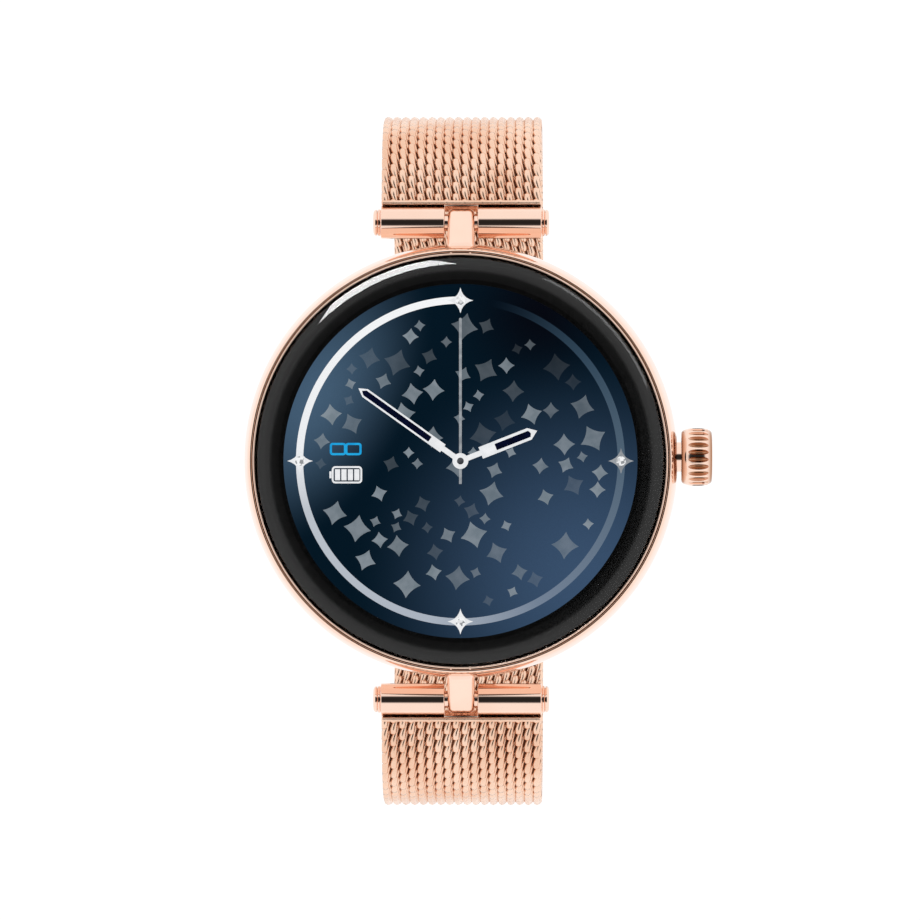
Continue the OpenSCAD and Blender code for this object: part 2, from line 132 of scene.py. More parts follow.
class Bench:
    """The modelling steps that every piece is made with."""

    @staticmethod
    def clear() -> None:
        """Leaves edit mode and deselects everything."""
        active = bpy.context.view_layer.objects.active
        if active is not None and active.mode != "OBJECT":
            bpy.ops.object.mode_set(mode="OBJECT")
        bpy.ops.object.select_all(action="DESELECT")

    @staticmethod
    def pick(*pieces: Piece) -> None:
        """Selects these pieces only, the first of them active."""
        Bench.clear()
        for piece in pieces:
            piece.select_set(True)
        bpy.context.view_layer.objects.active = pieces[0]

    @staticmethod
    def edit(piece: Piece) -> None:
        """Opens a piece in edit mode with all of it selected.

        Args:
            piece: The piece to open.
        """
        Bench.pick(piece)
        bpy.ops.object.mode_set(mode="EDIT")
        bpy.ops.mesh.select_all(action="SELECT")

    @staticmethod
    def close(piece: Piece) -> Piece:
        """Turns the faces outwards and leaves edit mode.

        Args:
            piece: The piece that is being edited.

        Returns:
            The same piece.
        """
        bpy.ops.mesh.select_all(action="SELECT")
        bpy.ops.mesh.normals_make_consistent(inside=False)
        bpy.ops.object.mode_set(mode="OBJECT")
        return piece

    @staticmethod
    def outline(name: str, points: Sequence[Point3], filled: bool) -> Piece:
        """A closed outline through these points.

        Args:
            name: Name of the new piece.
            points: Its corners in order.
            filled: Whether the outline holds a face.

        Returns:
            The new piece.
        """
        Bench.clear()
        kind = "NGON" if filled else "NOTHING"
        bpy.ops.mesh.primitive_circle_add(vertices=len(points), radius=MM, fill_type=kind)
        piece = bpy.context.object
        piece.name = name
        for vertex, point in zip(piece.data.vertices, points):
            vertex.co = Vector(point) * MM
        return piece

    @staticmethod
    def turned(
        name: str,
        profile: Sequence[Point2],
        axis: Axis = Axis.Z,
        centre: Point3 = (0.0, 0.0, 0.0),
        steps: int = 192,
    ) -> Piece:
        """A round piece, spun from a closed profile.

        Args:
            name: Name of the new piece.
            profile: Corners as (radius, place along the axis).
            axis: The axis it is spun about.
            centre: A point of that axis.
            steps: Number of steps in the full turn.

        Returns:
            The new piece.
        """
        middle = Vector(centre)
        if axis is Axis.Z:
            corners = [middle + Vector((r, 0, h)) for r, h in profile]
        else:
            corners = [middle + Vector((h, 0, r)) for r, h in profile]
        piece = Bench.outline(name, corners, filled=False)
        Bench.edit(piece)
        bpy.ops.mesh.spin(steps=steps, angle=FULL_TURN, center=middle * MM, axis=axis.value)
        bpy.ops.mesh.select_all(action="SELECT")
        bpy.ops.mesh.remove_doubles(threshold=1e-7)
        bpy.ops.mesh.delete_loose(use_verts=True, use_edges=True, use_faces=False)
        return Bench.close(piece)

    @staticmethod
    def plate(name: str, points: Sequence[Point2], z0: float, z1: float) -> Piece:
        """A flat plate.

        Args:
            name: Name of the new piece.
            points: Its outline in X and Y.
            z0: Its lower height.
            z1: Its upper height.

        Returns:
            The new piece.
        """
        piece = Bench.outline(name, [(x, y, z0) for x, y in points], filled=True)
        Bench.edit(piece)
        bpy.ops.mesh.extrude_region_move(
            TRANSFORM_OT_translate={"value": (0, 0, (z1 - z0) * MM)}
        )
        return Bench.close(piece)

    @staticmethod
    def bar(name: str, points: Sequence[Point2], x0: float, x1: float) -> Piece:
        """A bar along X.

        Args:
            name: Name of the new piece.
            points: Its outline in Y and Z.
            x0: Where it starts.
            x1: Where it ends.

        Returns:
            The new piece.
        """
        piece = Bench.outline(name, [(x0, y, z) for y, z in points], filled=True)
        Bench.edit(piece)
        bpy.ops.mesh.extrude_region_move(
            TRANSFORM_OT_translate={"value": ((x1 - x0) * MM, 0, 0)}
        )
        return Bench.close(piece)

    @staticmethod
    def block(name: str, low: Point3, high: Point3) -> Piece:
        """A box, with its place in its mesh.

        Args:
            name: Name of the new piece.
            low: Its lowest corner.
            high: Its highest corner.

        Returns:
            The new piece.
        """
        Bench.clear()
        middle = (Vector(low) + Vector(high)) / 2 * MM
        bpy.ops.mesh.primitive_cube_add(size=1, location=middle)
        piece = bpy.context.object
        piece.name = name
        piece.scale = (Vector(high) - Vector(low)) * MM
        return Bench.settle(piece)

    @staticmethod
    def swept(name: str, sections: Sequence[tuple[Point3, float, float]], sides: int) -> Piece:
        """A closed rod, extruded through oval sections that lie across Y.

        Args:
            name: Name of the new piece.
            sections: Each as (middle, half width in X, half height in Z).
            sides: Number of sides of each oval.

        Returns:
            The new piece.
        """
        (first, wide, high), *others = sections
        corners = []
        for k in range(sides):
            turn = FULL_TURN * k / sides
            corners.append(
                (first[0] + wide * math.cos(turn), first[1], first[2] + high * math.sin(turn))
            )
        piece = Bench.outline(name, corners, filled=True)
        Bench.edit(piece)
        before, old_wide, old_high = Vector(first), wide, high
        for middle, wide, high in others:
            step = (Vector(middle) - before) * MM
            bpy.ops.mesh.extrude_region_move(TRANSFORM_OT_translate={"value": step})
            bpy.ops.transform.resize(
                value=(wide / old_wide, 1, high / old_high),
                center_override=Vector(middle) * MM,
            )
            before, old_wide, old_high = Vector(middle), wide, high
        return Bench.close(piece)

    @staticmethod
    def settle(piece: Piece) -> Piece:
        """Moves a piece's place, turn and size into its mesh.

        Args:
            piece: The piece to settle.

        Returns:
            The same piece.
        """
        Bench.pick(piece)
        bpy.ops.object.transform_apply(location=True, rotation=True, scale=True)
        return piece

    @staticmethod
    def modified(piece: Piece, kind: str, **settings: object) -> Piece:
        """Applies one modifier to a piece.

        Args:
            piece: The piece to change.
            kind: Blender's name for the modifier.
            settings: Its settings.

        Returns:
            The same piece.
        """
        Bench.pick(piece)
        modifier = piece.modifiers.new(kind.title(), kind)
        for key, value in settings.items():
            setattr(modifier, key, value)
        bpy.ops.object.modifier_apply(modifier=modifier.name)
        return piece

    @staticmethod
    def eased(piece: Piece, width: float, segments: int = 3, above: float = 30) -> Piece:
        """Rounds the sharp edges of a piece.

        Args:
            piece: The piece to change.
            width: Width of the rounding in mm.
            segments: Number of steps in it.
            above: Angle in degrees from which an edge is rounded.

        Returns:
            The same piece.
        """
        return Bench.modified(
            piece,
            "BEVEL",
            width=width * MM,
            segments=segments,
            limit_method="ANGLE",
            angle_limit=math.radians(above),
        )

    @staticmethod
    def cut(piece: Piece, cutter: Piece) -> Piece:
        """Takes the cutter's shape out of a piece and removes the cutter.

        Args:
            piece: The piece to change.
            cutter: The shape to take out.

        Returns:
            The same piece.
        """
        Bench.modified(piece, "BOOLEAN", operation="DIFFERENCE", object=cutter, solver="EXACT")
        bpy.data.objects.remove(cutter)
        return piece

    @staticmethod
    def copy(piece: Piece, name: str, move: Matrix) -> Piece:
        """A moved copy of a piece, with a mesh of its own.

        Args:
            piece: The piece to copy.
            name: Name of the copy.
            move: Where the copy goes.

        Returns:
            The copy.
        """
        Bench.pick(piece)
        bpy.ops.object.duplicate()
        twin = bpy.context.object
        twin.name = name
        twin.data.transform(move)
        if move.determinant() < 0:
            twin.data.flip_normals()
        return twin

    @staticmethod
    def joined(name: str, pieces: Sequence[Piece]) -> Piece:
        """Joins several pieces into one.

        Args:
            name: Its new name.
            pieces: The pieces, the first of which stays.

        Returns:
            The joined piece.
        """
        Bench.pick(*pieces)
        if len(pieces) > 1:
            bpy.ops.object.join()
        pieces[0].name = name
        return pieces[0]

    @staticmethod
    def smooth(piece: Piece, degrees: float = 35, weighted: bool = True) -> Piece:
        """Shades a piece smooth, apart from edges sharper than an angle.

        Args:
            piece: The piece to shade.
            degrees: The angle from which an edge stays sharp.
            weighted: Whether large faces keep their own flatness.

        Returns:
            The same piece.
        """
        Bench.pick(piece)
        bpy.ops.object.shade_smooth_by_angle(angle=math.radians(degrees))
        if weighted:
            Bench.modified(piece, "WEIGHTED_NORMAL", keep_sharp=True)
        return piece


# --------------------------------------------------------------- the finishes


def set_stops(node: Node, stops: Sequence[Stop]) -> None:
    """Gives a colour ramp its stops.

    Args:
        node: The colour ramp.
        stops: Each as (place, colour, strength).
    """
    elements = node.color_ramp.elements
    elements.remove(elements[1])
    for number, (place, colour, strength) in enumerate(stops):
        stop = elements[0] if number == 0 else elements.new(place)
        stop.position = place
        stop.color = (*colour, strength)


class Graph:
    """A new material and the nodes it is built of."""

    def __init__(self, name: str) -> None:
        """Starts an empty material.

        Args:
            name: Name of the new material.
        """
        self.material = bpy.data.materials.new(name)
        self.material.use_nodes = True
        self.tree = self.material.node_tree
        self.tree.nodes.clear()
        self.place = self.add("ShaderNodeTexCoord").outputs["Object"]

    def add(self, kind: str, **settings: object) -> Node:
        """Adds a node.

        Args:
            kind: Blender's name for it.
            settings: Its settings.

        Returns:
            The node.
        """
        node = self.tree.nodes.new(kind)
        for key, value in settings.items():
            setattr(node, key, value)
        return node

    def feed(self, socket: Socket, value: Value) -> None:
        """Links a socket to an output, or sets it to a constant.

        Args:
            socket: The input to feed.
            value: An output, a number or a colour.
        """
        if isinstance(value, bpy.types.NodeSocket):
            self.tree.links.new(value, socket)
        elif isinstance(value, tuple) and len(value) == 3 and socket.type == "RGBA":
            socket.default_value = (*value, 1.0)
        else:
            socket.default_value = value

    def noise(self, scale: float, detail: float = 3.0, stretch: Point3 | None = None) -> Socket:
        """Cloudy pattern from 0 to 1.

        Args:
            scale: Features per metre.
            detail: How many finer layers it has.
            stretch: How much closer the features lie along each axis.

        Returns:
            The socket with the pattern.
        """
        node = self.add("ShaderNodeTexNoise")
        node.inputs["Scale"].default_value = scale
        node.inputs["Detail"].default_value = detail
        place = self.place
        if stretch is not None:
            mapping = self.add("ShaderNodeMapping")
            mapping.inputs["Scale"].default_value = stretch
            self.feed(mapping.inputs["Vector"], place)
            place = mapping.outputs["Vector"]
        self.feed(node.inputs["Vector"], place)
        return node.outputs["Fac"]

    def cells(self, scale: float, output: str = "Distance") -> Socket:
        """Cell pattern.

        Args:
            scale: Cells per metre.
            output: Name of the output to use.

        Returns:
            The socket with the pattern.
        """
        node = self.add("ShaderNodeTexVoronoi")
        node.inputs["Scale"].default_value = scale
        self.feed(node.inputs["Vector"], self.place)
        return node.outputs[output]

    def remap(
        self, value: Value, low: float, high: float, start: float = 0.3, end: float = 0.7
    ) -> Socket:
        """Spreads a value softly over another range.

        Args:
            value: The value, as it runs from start to end.
            low: The result at the start.
            high: The result at the end.
            start: Value from which the result leaves low.
            end: Value from which the result stays at high.

        Returns:
            The socket with the result.
        """
        node = self.add("ShaderNodeMapRange", interpolation_type="SMOOTHSTEP")
        for socket, number in zip(node.inputs, (value, start, end, low, high)):
            self.feed(socket, number)
        return node.outputs[0]

    def maths(self, operation: str, *values: Value) -> Socket:
        """One step of arithmetic on numbers.

        Args:
            operation: Blender's name for the step.
            values: What goes into it.

        Returns:
            The socket with the result.
        """
        node = self.add("ShaderNodeMath", operation=operation)
        for socket, value in zip(node.inputs, values):
            self.feed(socket, value)
        return node.outputs[0]

    def radius(self, across: Socket, along: Socket) -> Socket:
        """Distance from an axis, from the two offsets that lie across it."""
        squares = [self.maths("MULTIPLY", offset, offset) for offset in (across, along)]
        return self.maths("SQRT", self.maths("ADD", *squares))

    def mixed(self, factor: Value, first: Value, second: Value) -> Socket:
        """A colour between two colours.

        Args:
            factor: How much of the second there is.
            first: The first colour.
            second: The second colour.

        Returns:
            The socket with the colour.
        """
        node = self.add("ShaderNodeMix", data_type="RGBA")
        for number, value in ((0, factor), (6, first), (7, second)):
            self.feed(node.inputs[number], value)
        return node.outputs[2]

    def bump(self, height: Socket, strength: float, depth: float) -> Socket:
        """A bumpy normal.

        Args:
            height: The height that makes the bumps.
            strength: How strongly they show.
            depth: Their depth in mm.

        Returns:
            The socket with the normal.
        """
        node = self.add("ShaderNodeBump")
        node.inputs["Strength"].default_value = strength
        node.inputs["Distance"].default_value = depth * MM
        self.feed(node.inputs["Height"], height)
        return node.outputs["Normal"]

    def split(self) -> tuple[Socket, Socket, Socket]:
        """The place on the piece as three numbers."""
        node = self.add("ShaderNodeSeparateXYZ")
        self.feed(node.inputs[0], self.place)
        return node.outputs[0], node.outputs[1], node.outputs[2]

    def ramp(self, value: Socket, stops: Sequence[Stop]) -> Node:
        """A colour ramp.

        Args:
            value: What it follows, from 0 to 1.
            stops: Each as (place, colour, strength).

        Returns:
            The node of the ramp.
        """
        node = self.add("ShaderNodeValToRGB")
        set_stops(node, stops)
        self.feed(node.inputs[0], value)
        return node

    def surface(self, **values: Value) -> Socket:
        """The main shader.

        Args:
            values: Its inputs, named in lower case.

        Returns:
            The shader's socket.
        """
        node = self.add("ShaderNodeBsdfPrincipled")
        for key, value in values.items():
            self.feed(node.inputs[key.replace("_", " ").title().replace("Ior", "IOR")], value)
        return node.outputs[0]

    def lit(self, colour: Value, strength: Value = 1.0) -> Socket:
        """The light that a screen gives.

        Args:
            colour: Its colour.
            strength: Its strength.

        Returns:
            The shader's socket.
        """
        light = self.add("ShaderNodeEmission")
        self.feed(light.inputs["Color"], colour)
        self.feed(light.inputs["Strength"], strength)
        return light.outputs[0]

    def open(self, tint: Colour = (1.0, 1.0, 1.0)) -> Socket:
        """Shows what lies behind.

        Args:
            tint: The colour that it shows through.

        Returns:
            The shader's socket.
        """
        through = self.add("ShaderNodeBsdfTransparent")
        self.feed(through.inputs["Color"], tint)
        return through.outputs[0]

    def layered(self, share: Value, under: Socket, over: Socket) -> Socket:
        """One shader over another.

        Args:
            share: How far the upper one shows.
            under: The lower shader.
            over: The upper shader.

        Returns:
            The socket of both together.
        """
        mix = self.add("ShaderNodeMixShader")
        for socket, value in zip(mix.inputs, (share, under, over)):
            self.feed(socket, value)
        return mix.outputs[0]

    def done(self, shader: Socket) -> bpy.types.Material:
        """Links the shader to the output.

        Args:
            shader: The socket of the finished shader.

        Returns:
            The material.
        """
        output = self.add("ShaderNodeOutputMaterial")
        self.feed(output.inputs["Surface"], shader)
        return self.material


@dataclass(frozen=True)
class Plating:
    """Polished or satin metal with faint tone changes and fine marks."""

    name: str
    light: Colour
    deep: Colour
    rough_low: float = 0.05
    rough_high: float = 0.12
    marks: float = 0.03
    grain: Point3 | None = None

    def make(self) -> bpy.types.Material:
        """Builds the material."""
        graph = Graph(self.name)
        tone = graph.remap(graph.noise(220, 4), 0.0, 1.0, 0.35, 0.65)
        fine = graph.noise(5200, 2, self.grain)
        clouds = graph.noise(1500, 3, self.grain)
        shader = graph.surface(
            base_color=graph.mixed(tone, self.light, self.deep),
            metallic=1.0,
            roughness=graph.remap(clouds, self.rough_low, self.rough_high),
            normal=graph.bump(fine, self.marks, 0.01),
        )
        return graph.done(shader)


@dataclass(frozen=True)
class Moulding:
    """Moulded, printed or coated stuff with grain in colour and relief."""

    name: str
    light: Colour
    deep: Colour
    scale: float = 3000
    rough: float = 0.5
    relief: float = 0.15
    coat: float = 0.0

    def make(self) -> bpy.types.Material:
        """Builds the material."""
        graph = Graph(self.name)
        grain = graph.noise(self.scale, 5)
        shader = graph.surface(
            base_color=graph.mixed(graph.remap(grain, 0.0, 1.0), self.light, self.deep),
            roughness=graph.remap(graph.noise(self.scale / 3), self.rough * 0.8, self.rough * 1.2),
            normal=graph.bump(grain, self.relief, 0.02),
            coat_weight=self.coat,
        )
        return graph.done(shader)


@dataclass(frozen=True)
class FluteShadePlating:
    """Polished plating with painted shade: darker towards the floor of the flutes."""

    name: str
    light: Colour
    deep: Colour
    centre: Point3
    floor_r: float
    top_r: float
    cap_x: float

    def make(self) -> bpy.types.Material:
        """Builds the material."""
        graph = Graph(self.name)
        x, y, z = graph.split()
        off_y = graph.maths("SUBTRACT", y, self.centre[1] * MM)
        off_z = graph.maths("SUBTRACT", z, self.centre[2] * MM)
        radius = graph.radius(off_y, off_z)
        # painted shade: below top_r the colour turns towards the deep brown at the flute floor,
        # apart from the knob's end face past cap_x
        painted_shade_fade = graph.remap(radius, 0.0, 1.0, self.floor_r * MM, self.top_r * MM)
        cap = graph.maths("GREATER_THAN", x, self.cap_x * MM)
        shader = graph.surface(
            base_color=graph.mixed(graph.maths("MAXIMUM", painted_shade_fade, cap), self.deep, self.light),
            metallic=1.0,
            roughness=graph.remap(graph.noise(1500), 0.05, 0.1),
        )
        return graph.done(shader)


@dataclass(frozen=True)
class BorderInk:
    """Black print whose depth of black changes in rings around the dial."""

    name: str
    rings: tuple[tuple[float, float], ...]
    reach: float = 20.0

    def make(self) -> bpy.types.Material:
        """Builds the material, whose rings are (radius in mm, grey)."""
        graph = Graph(self.name)
        x, y, _ = graph.split()
        radius = graph.maths("DIVIDE", graph.radius(x, y), self.reach * MM)
        stops = [(place / self.reach, (grey, grey, grey), 1.0) for place, grey in self.rings]
        shader = graph.surface(
            base_color=graph.ramp(radius, stops).outputs["Color"],
            roughness=graph.remap(graph.noise(2500), 0.4, 0.55),
            specular_ior_level=0.08,
        )
        return graph.done(shader)


@dataclass(frozen=True)
class CircuitMask:
    """Solder mask with copper tracks under it and small parts' pads."""

    name: str
    mask: Colour
    track: Colour
    pad: Colour

    def make(self) -> bpy.types.Material:
        """Builds the material."""
        graph = Graph(self.name)
        brick = graph.add("ShaderNodeTexBrick", offset=0.35, squash=0.7, squash_frequency=3)
        brick.inputs["Scale"].default_value = 420
        brick.inputs["Mortar Size"].default_value = 0.035
        graph.feed(brick.inputs["Vector"], graph.place)
        pads = graph.remap(graph.cells(900), 1.0, 0.0, 0.12, 0.2)
        ground = graph.mixed(brick.outputs["Fac"], self.mask, self.track)
        shader = graph.surface(
            base_color=graph.mixed(pads, ground, self.pad),
            roughness=graph.remap(graph.noise(2500), 0.25, 0.4),
            normal=graph.bump(brick.outputs["Fac"], 0.3, 0.02),
        )
        return graph.done(shader)


@dataclass(frozen=True)
class CoverGlass:
    """Clear glass: see-through, with gloss that grows at the edge."""

    name: str
    index: float = 1.5
    tint: Colour = (0.985, 0.99, 0.995)

    def make(self) -> bpy.types.Material:
        """Builds the material."""
        graph = Graph(self.name)
        bend = graph.add("ShaderNodeFresnel")
        bend.inputs["IOR"].default_value = self.index
        gloss = graph.add("ShaderNodeBsdfGlossy")
        smear = graph.remap(graph.noise(160, 3), 0.0, 0.01, 0.45, 0.75)
        graph.feed(gloss.inputs["Roughness"], smear)
        return graph.done(graph.layered(bend.outputs[0], graph.open(self.tint), gloss.outputs[0]))


@dataclass(frozen=True)
class LitGround:
    """The lit ground of the dial: dark blue with softly lit sweeps."""

    name: str
    night: Colour
    dusk: Colour
    steel: Colour
    slate: Colour

    def sweep(self, graph: Graph, middle: Point2, stretch: Point2, reach: float) -> Socket:
        """How much of a sweep shows, from 0 to 1.

        Args:
            graph: The material being built.
            middle: The sweep's brightest place, in mm.
            stretch: How much shorter it is along X and Y.
            reach: Distance at which it has faded away, in mm.

        Returns:
            The socket with that share.
        """
        mapping = graph.add("ShaderNodeMapping", vector_type="TEXTURE")
        mapping.inputs["Location"].default_value = (middle[0] * MM, middle[1] * MM, 0)
        mapping.inputs["Rotation"].default_value = (0, 0, math.radians(60))
        mapping.inputs["Scale"].default_value = (*stretch, 1000)
        graph.feed(mapping.inputs["Vector"], graph.place)
        length = graph.add("ShaderNodeVectorMath", operation="LENGTH")
        graph.feed(length.inputs[0], mapping.outputs[0])
        return graph.remap(length.outputs["Value"], 1.0, 0.0, 0.0, reach * MM)

    def make(self) -> bpy.types.Material:
        """Builds the material."""
        graph = Graph(self.name)
        colour = graph.mixed(self.sweep(graph, (7.0, 13.0), (1, 1), 9), self.dusk, self.night)
        colour = graph.mixed(self.sweep(graph, (11.0, -10.5), (1, 1), 21), colour, self.steel)
        slate = self.sweep(graph, (-13.0, 5.6), (1.5, 0.85), 10.3)
        colour = graph.mixed(slate, colour, self.slate)
        fine = graph.remap(graph.noise(30000, 1), 0.94, 1.06)
        return graph.done(graph.lit(colour, fine))


@dataclass(frozen=True)
class LitMark:
    """A lit mark of the dial, with the screen's fine unevenness."""

    name: str
    colour: Colour
    shade: Colour

    def make(self) -> bpy.types.Material:
        """Builds the material."""
        graph = Graph(self.name)
        tone = graph.remap(graph.noise(1400, 2), 0.0, 1.0)
        return graph.done(graph.lit(graph.mixed(tone, self.colour, self.shade)))


@dataclass(frozen=True)
class LitGem:
    """Small facets, each with a tone of its own."""

    name: str
    dull: Colour
    bright: Colour

    def make(self) -> bpy.types.Material:
        """Builds the material."""
        graph = Graph(self.name)
        facet = graph.maths("FRACT", graph.maths("MULTIPLY", graph.cells(4200, "Color"), 3.0))
        tone = graph.remap(facet, 0.0, 1.0, 0.25, 0.6)
        return graph.done(graph.lit(graph.mixed(tone, self.dull, self.bright)))


@dataclass(frozen=True)
class LitRing:
    """The hour ring: bright from 12 back to 9, then ever fainter round to 12."""

    name: str
    stops: tuple[Stop, ...]

    def make(self) -> bpy.types.Material:
        """Builds the material, whose stops are (turn back from 12, colour, strength)."""
        graph = Graph(self.name)
        x, y, _ = graph.split()
        back = graph.maths("ARCTAN2", graph.maths("MULTIPLY", x, -1.0), y)
        turn = graph.maths("ADD", graph.maths("DIVIDE", back, FULL_TURN), 1.0)
        ramp = graph.ramp(graph.maths("FRACT", turn), self.stops)
        light = graph.lit(ramp.outputs["Color"])
        return graph.done(graph.layered(ramp.outputs["Alpha"], graph.open(), light))


@dataclass(frozen=True)
class LitStars:
    """Scattered stars, each covering the ground as its own share says."""

    name: str
    colour: Colour
    shade: Colour

    def make(self) -> bpy.types.Material:
        """Builds the material."""
        graph = Graph(self.name)
        share = graph.add("ShaderNodeAttribute", attribute_name="share").outputs["Fac"]
        tone = graph.remap(graph.noise(900, 2), 0.0, 1.0)
        light = graph.lit(graph.mixed(tone, self.colour, self.shade))
        return graph.done(graph.layered(share, graph.open(), light))


class Finish(Enum):
    """Every finish of the watch."""

    POLISHED = Plating(
        "rose_gold_polish", (0.95, 0.70, 0.575), (0.94, 0.67, 0.54), 0.03, 0.07, 0.012
    )
    # the deep colour here is painted shade in the floors of the crown's flutes
    FLUTED = FluteShadePlating(
        "rose_gold_flutes", (0.95, 0.69, 0.56), (0.40, 0.19, 0.10), CROWN_AXIS, 2.24, 2.46, 21.93
    )
    WIRE = Plating("rose_gold_wire", (0.93, 0.66, 0.51), (0.86, 0.55, 0.395), 0.17, 0.26, 0.05)
    # painted shade: the dark colour of the sheet inside the weave stands in for the shadow between
    # the links
    GAP = Plating("shaded_wire", (0.20, 0.09, 0.05), (0.12, 0.05, 0.03), 0.4, 0.55, 0.2)
    STEEL = Plating(
        "brushed_steel", (0.62, 0.62, 0.63), (0.5, 0.5, 0.51), 0.2, 0.35, 0.1, (1, 6, 6)
    )
    MAGNET = Plating("nickel_plating", (0.68, 0.67, 0.65), (0.6, 0.6, 0.6), 0.12, 0.2)
    CONTACT = Plating("gold_plating", (0.98, 0.76, 0.34), (0.9, 0.64, 0.24), 0.1, 0.2)
    FOIL = Plating("foil_wrap", (0.72, 0.74, 0.78), (0.6, 0.63, 0.68), 0.3, 0.45, 0.2, (1, 4, 1))
    BLACK = Moulding("moulded_black", (0.03, 0.03, 0.032), (0.018, 0.018, 0.02), 6000, 0.42, 0.12)
    RUBBER = Moulding("soft_rubber", (0.028, 0.028, 0.03), (0.015, 0.015, 0.015), 3500, 0.7)
    INK = BorderInk(
        "printed_black",
        (
            (15.4, 0.001), (15.74, 0.001), (15.86, 0.009), (16.7, 0.012), (16.86, 0.004),
            (17.05, 0.004), (17.2, 0.012), (17.8, 0.016),
        ),
    )
    FILM = Moulding("amber_film", (0.62, 0.32, 0.07), (0.45, 0.2, 0.04), 1800, 0.3, 0.05, coat=0.4)
    LENS = Moulding("green_lens", (0.2, 0.62, 0.34), (0.1, 0.4, 0.2), 2600, 0.15, 0.03, coat=0.6)
    WINDOW = Moulding(
        "smoked_window", (0.014, 0.015, 0.018), (0.007, 0.007, 0.01), 700, 0.09, 0.0, coat=1.0
    )
    BUTTON = Moulding("red_button", (0.6, 0.07, 0.045), (0.45, 0.04, 0.03), 4000, 0.35, 0.05)
    BOARD = CircuitMask("solder_mask", (0.02, 0.16, 0.08), (0.05, 0.28, 0.13), (0.75, 0.7, 0.55))
    GLASS = CoverGlass("dome_glass")
    GROUND = LitGround(
        "screen_ground",
        screen_colour(2, 5, 15),
        screen_colour(1, 22, 36),
        screen_colour(59, 83, 112),
        screen_colour(70, 96, 120),
    )
    WHITE = LitMark("screen_white", (0.96, 0.96, 0.97), (0.86, 0.87, 0.88))
    GREY = LitMark("screen_grey", screen_colour(168, 172, 176), screen_colour(140, 145, 150))
    NAVY = LitMark("screen_navy", screen_colour(4, 10, 42), screen_colour(2, 6, 28))
    CYAN = LitMark("screen_cyan", screen_colour(38, 178, 236), screen_colour(26, 156, 220))
    HUB = LitMark("screen_hub", screen_colour(88, 90, 94), screen_colour(60, 62, 66))
    GEM = LitGem("screen_gem", (0.32, 0.33, 0.34), (1.0, 1.0, 1.0))
    RING = LitRing(
        "screen_ring",
        (
            (0.0, (1.02, 1.02, 1.02), 1.0), (0.24, (0.93, 0.94, 0.96), 1.0),
            (0.30, screen_colour(196, 202, 210), 1.0),
            (0.47, screen_colour(178, 186, 198), 1.0),
            (0.58, screen_colour(120, 135, 155), 1.0), (0.75, screen_colour(84, 104, 122), 1.0),
            (0.86, screen_colour(52, 74, 92), 0.8), (0.97, screen_colour(20, 40, 58), 0.0),
        ),
    )
    STARS = LitStars("screen_stars", screen_colour(148, 158, 166), screen_colour(128, 140, 148))

    def material(self) -> bpy.types.Material:
        """The finish's material, built once."""
        made = bpy.data.materials.get(self.value.name)
        return made if made is not None else self.value.make()


class Slot(Enum):
    """The record's material slots that match the new pieces."""

    GOLD = "polished_rose_gold"
    MESH = "mesh_rose_gold"
    GLASS = "clear_glass"
    SCREEN = "screen"
    PRINT = "black_print"


def dress(piece: Piece, *finishes: Finish) -> Piece:
    """Gives a piece these finishes in place of any it has.

    Args:
        piece: The piece to dress.
        finishes: Its finishes, in the order of its material slots.

    Returns:
        The same piece.
    """
    if piece.data.materials:
        for number in range(len(piece.data.materials)):
            piece.data.materials[number] = finishes[min(number, len(finishes) - 1)].material()
    for finish in finishes[len(piece.data.materials) :]:
        piece.data.materials.append(finish.material())
    return piece


def mount(piece: Piece, body: str, slot: Slot, *replaced: str) -> Piece:
    """Makes a piece move with a body and stand for CAD nodes.

    Args:
        piece: The finished piece.
        body: Name of the body it rides on.
        slot: The record's slot that matches its finish; not used.
        replaced: The CAD nodes that it stands for.

    Returns:
        The same piece.
    """
    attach(piece, body)
    if replaced:
        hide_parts(*replaced)
    log.info("%s rides on %s", piece.name, body)
    return piece


# ------------------------------------------------------------------- the case


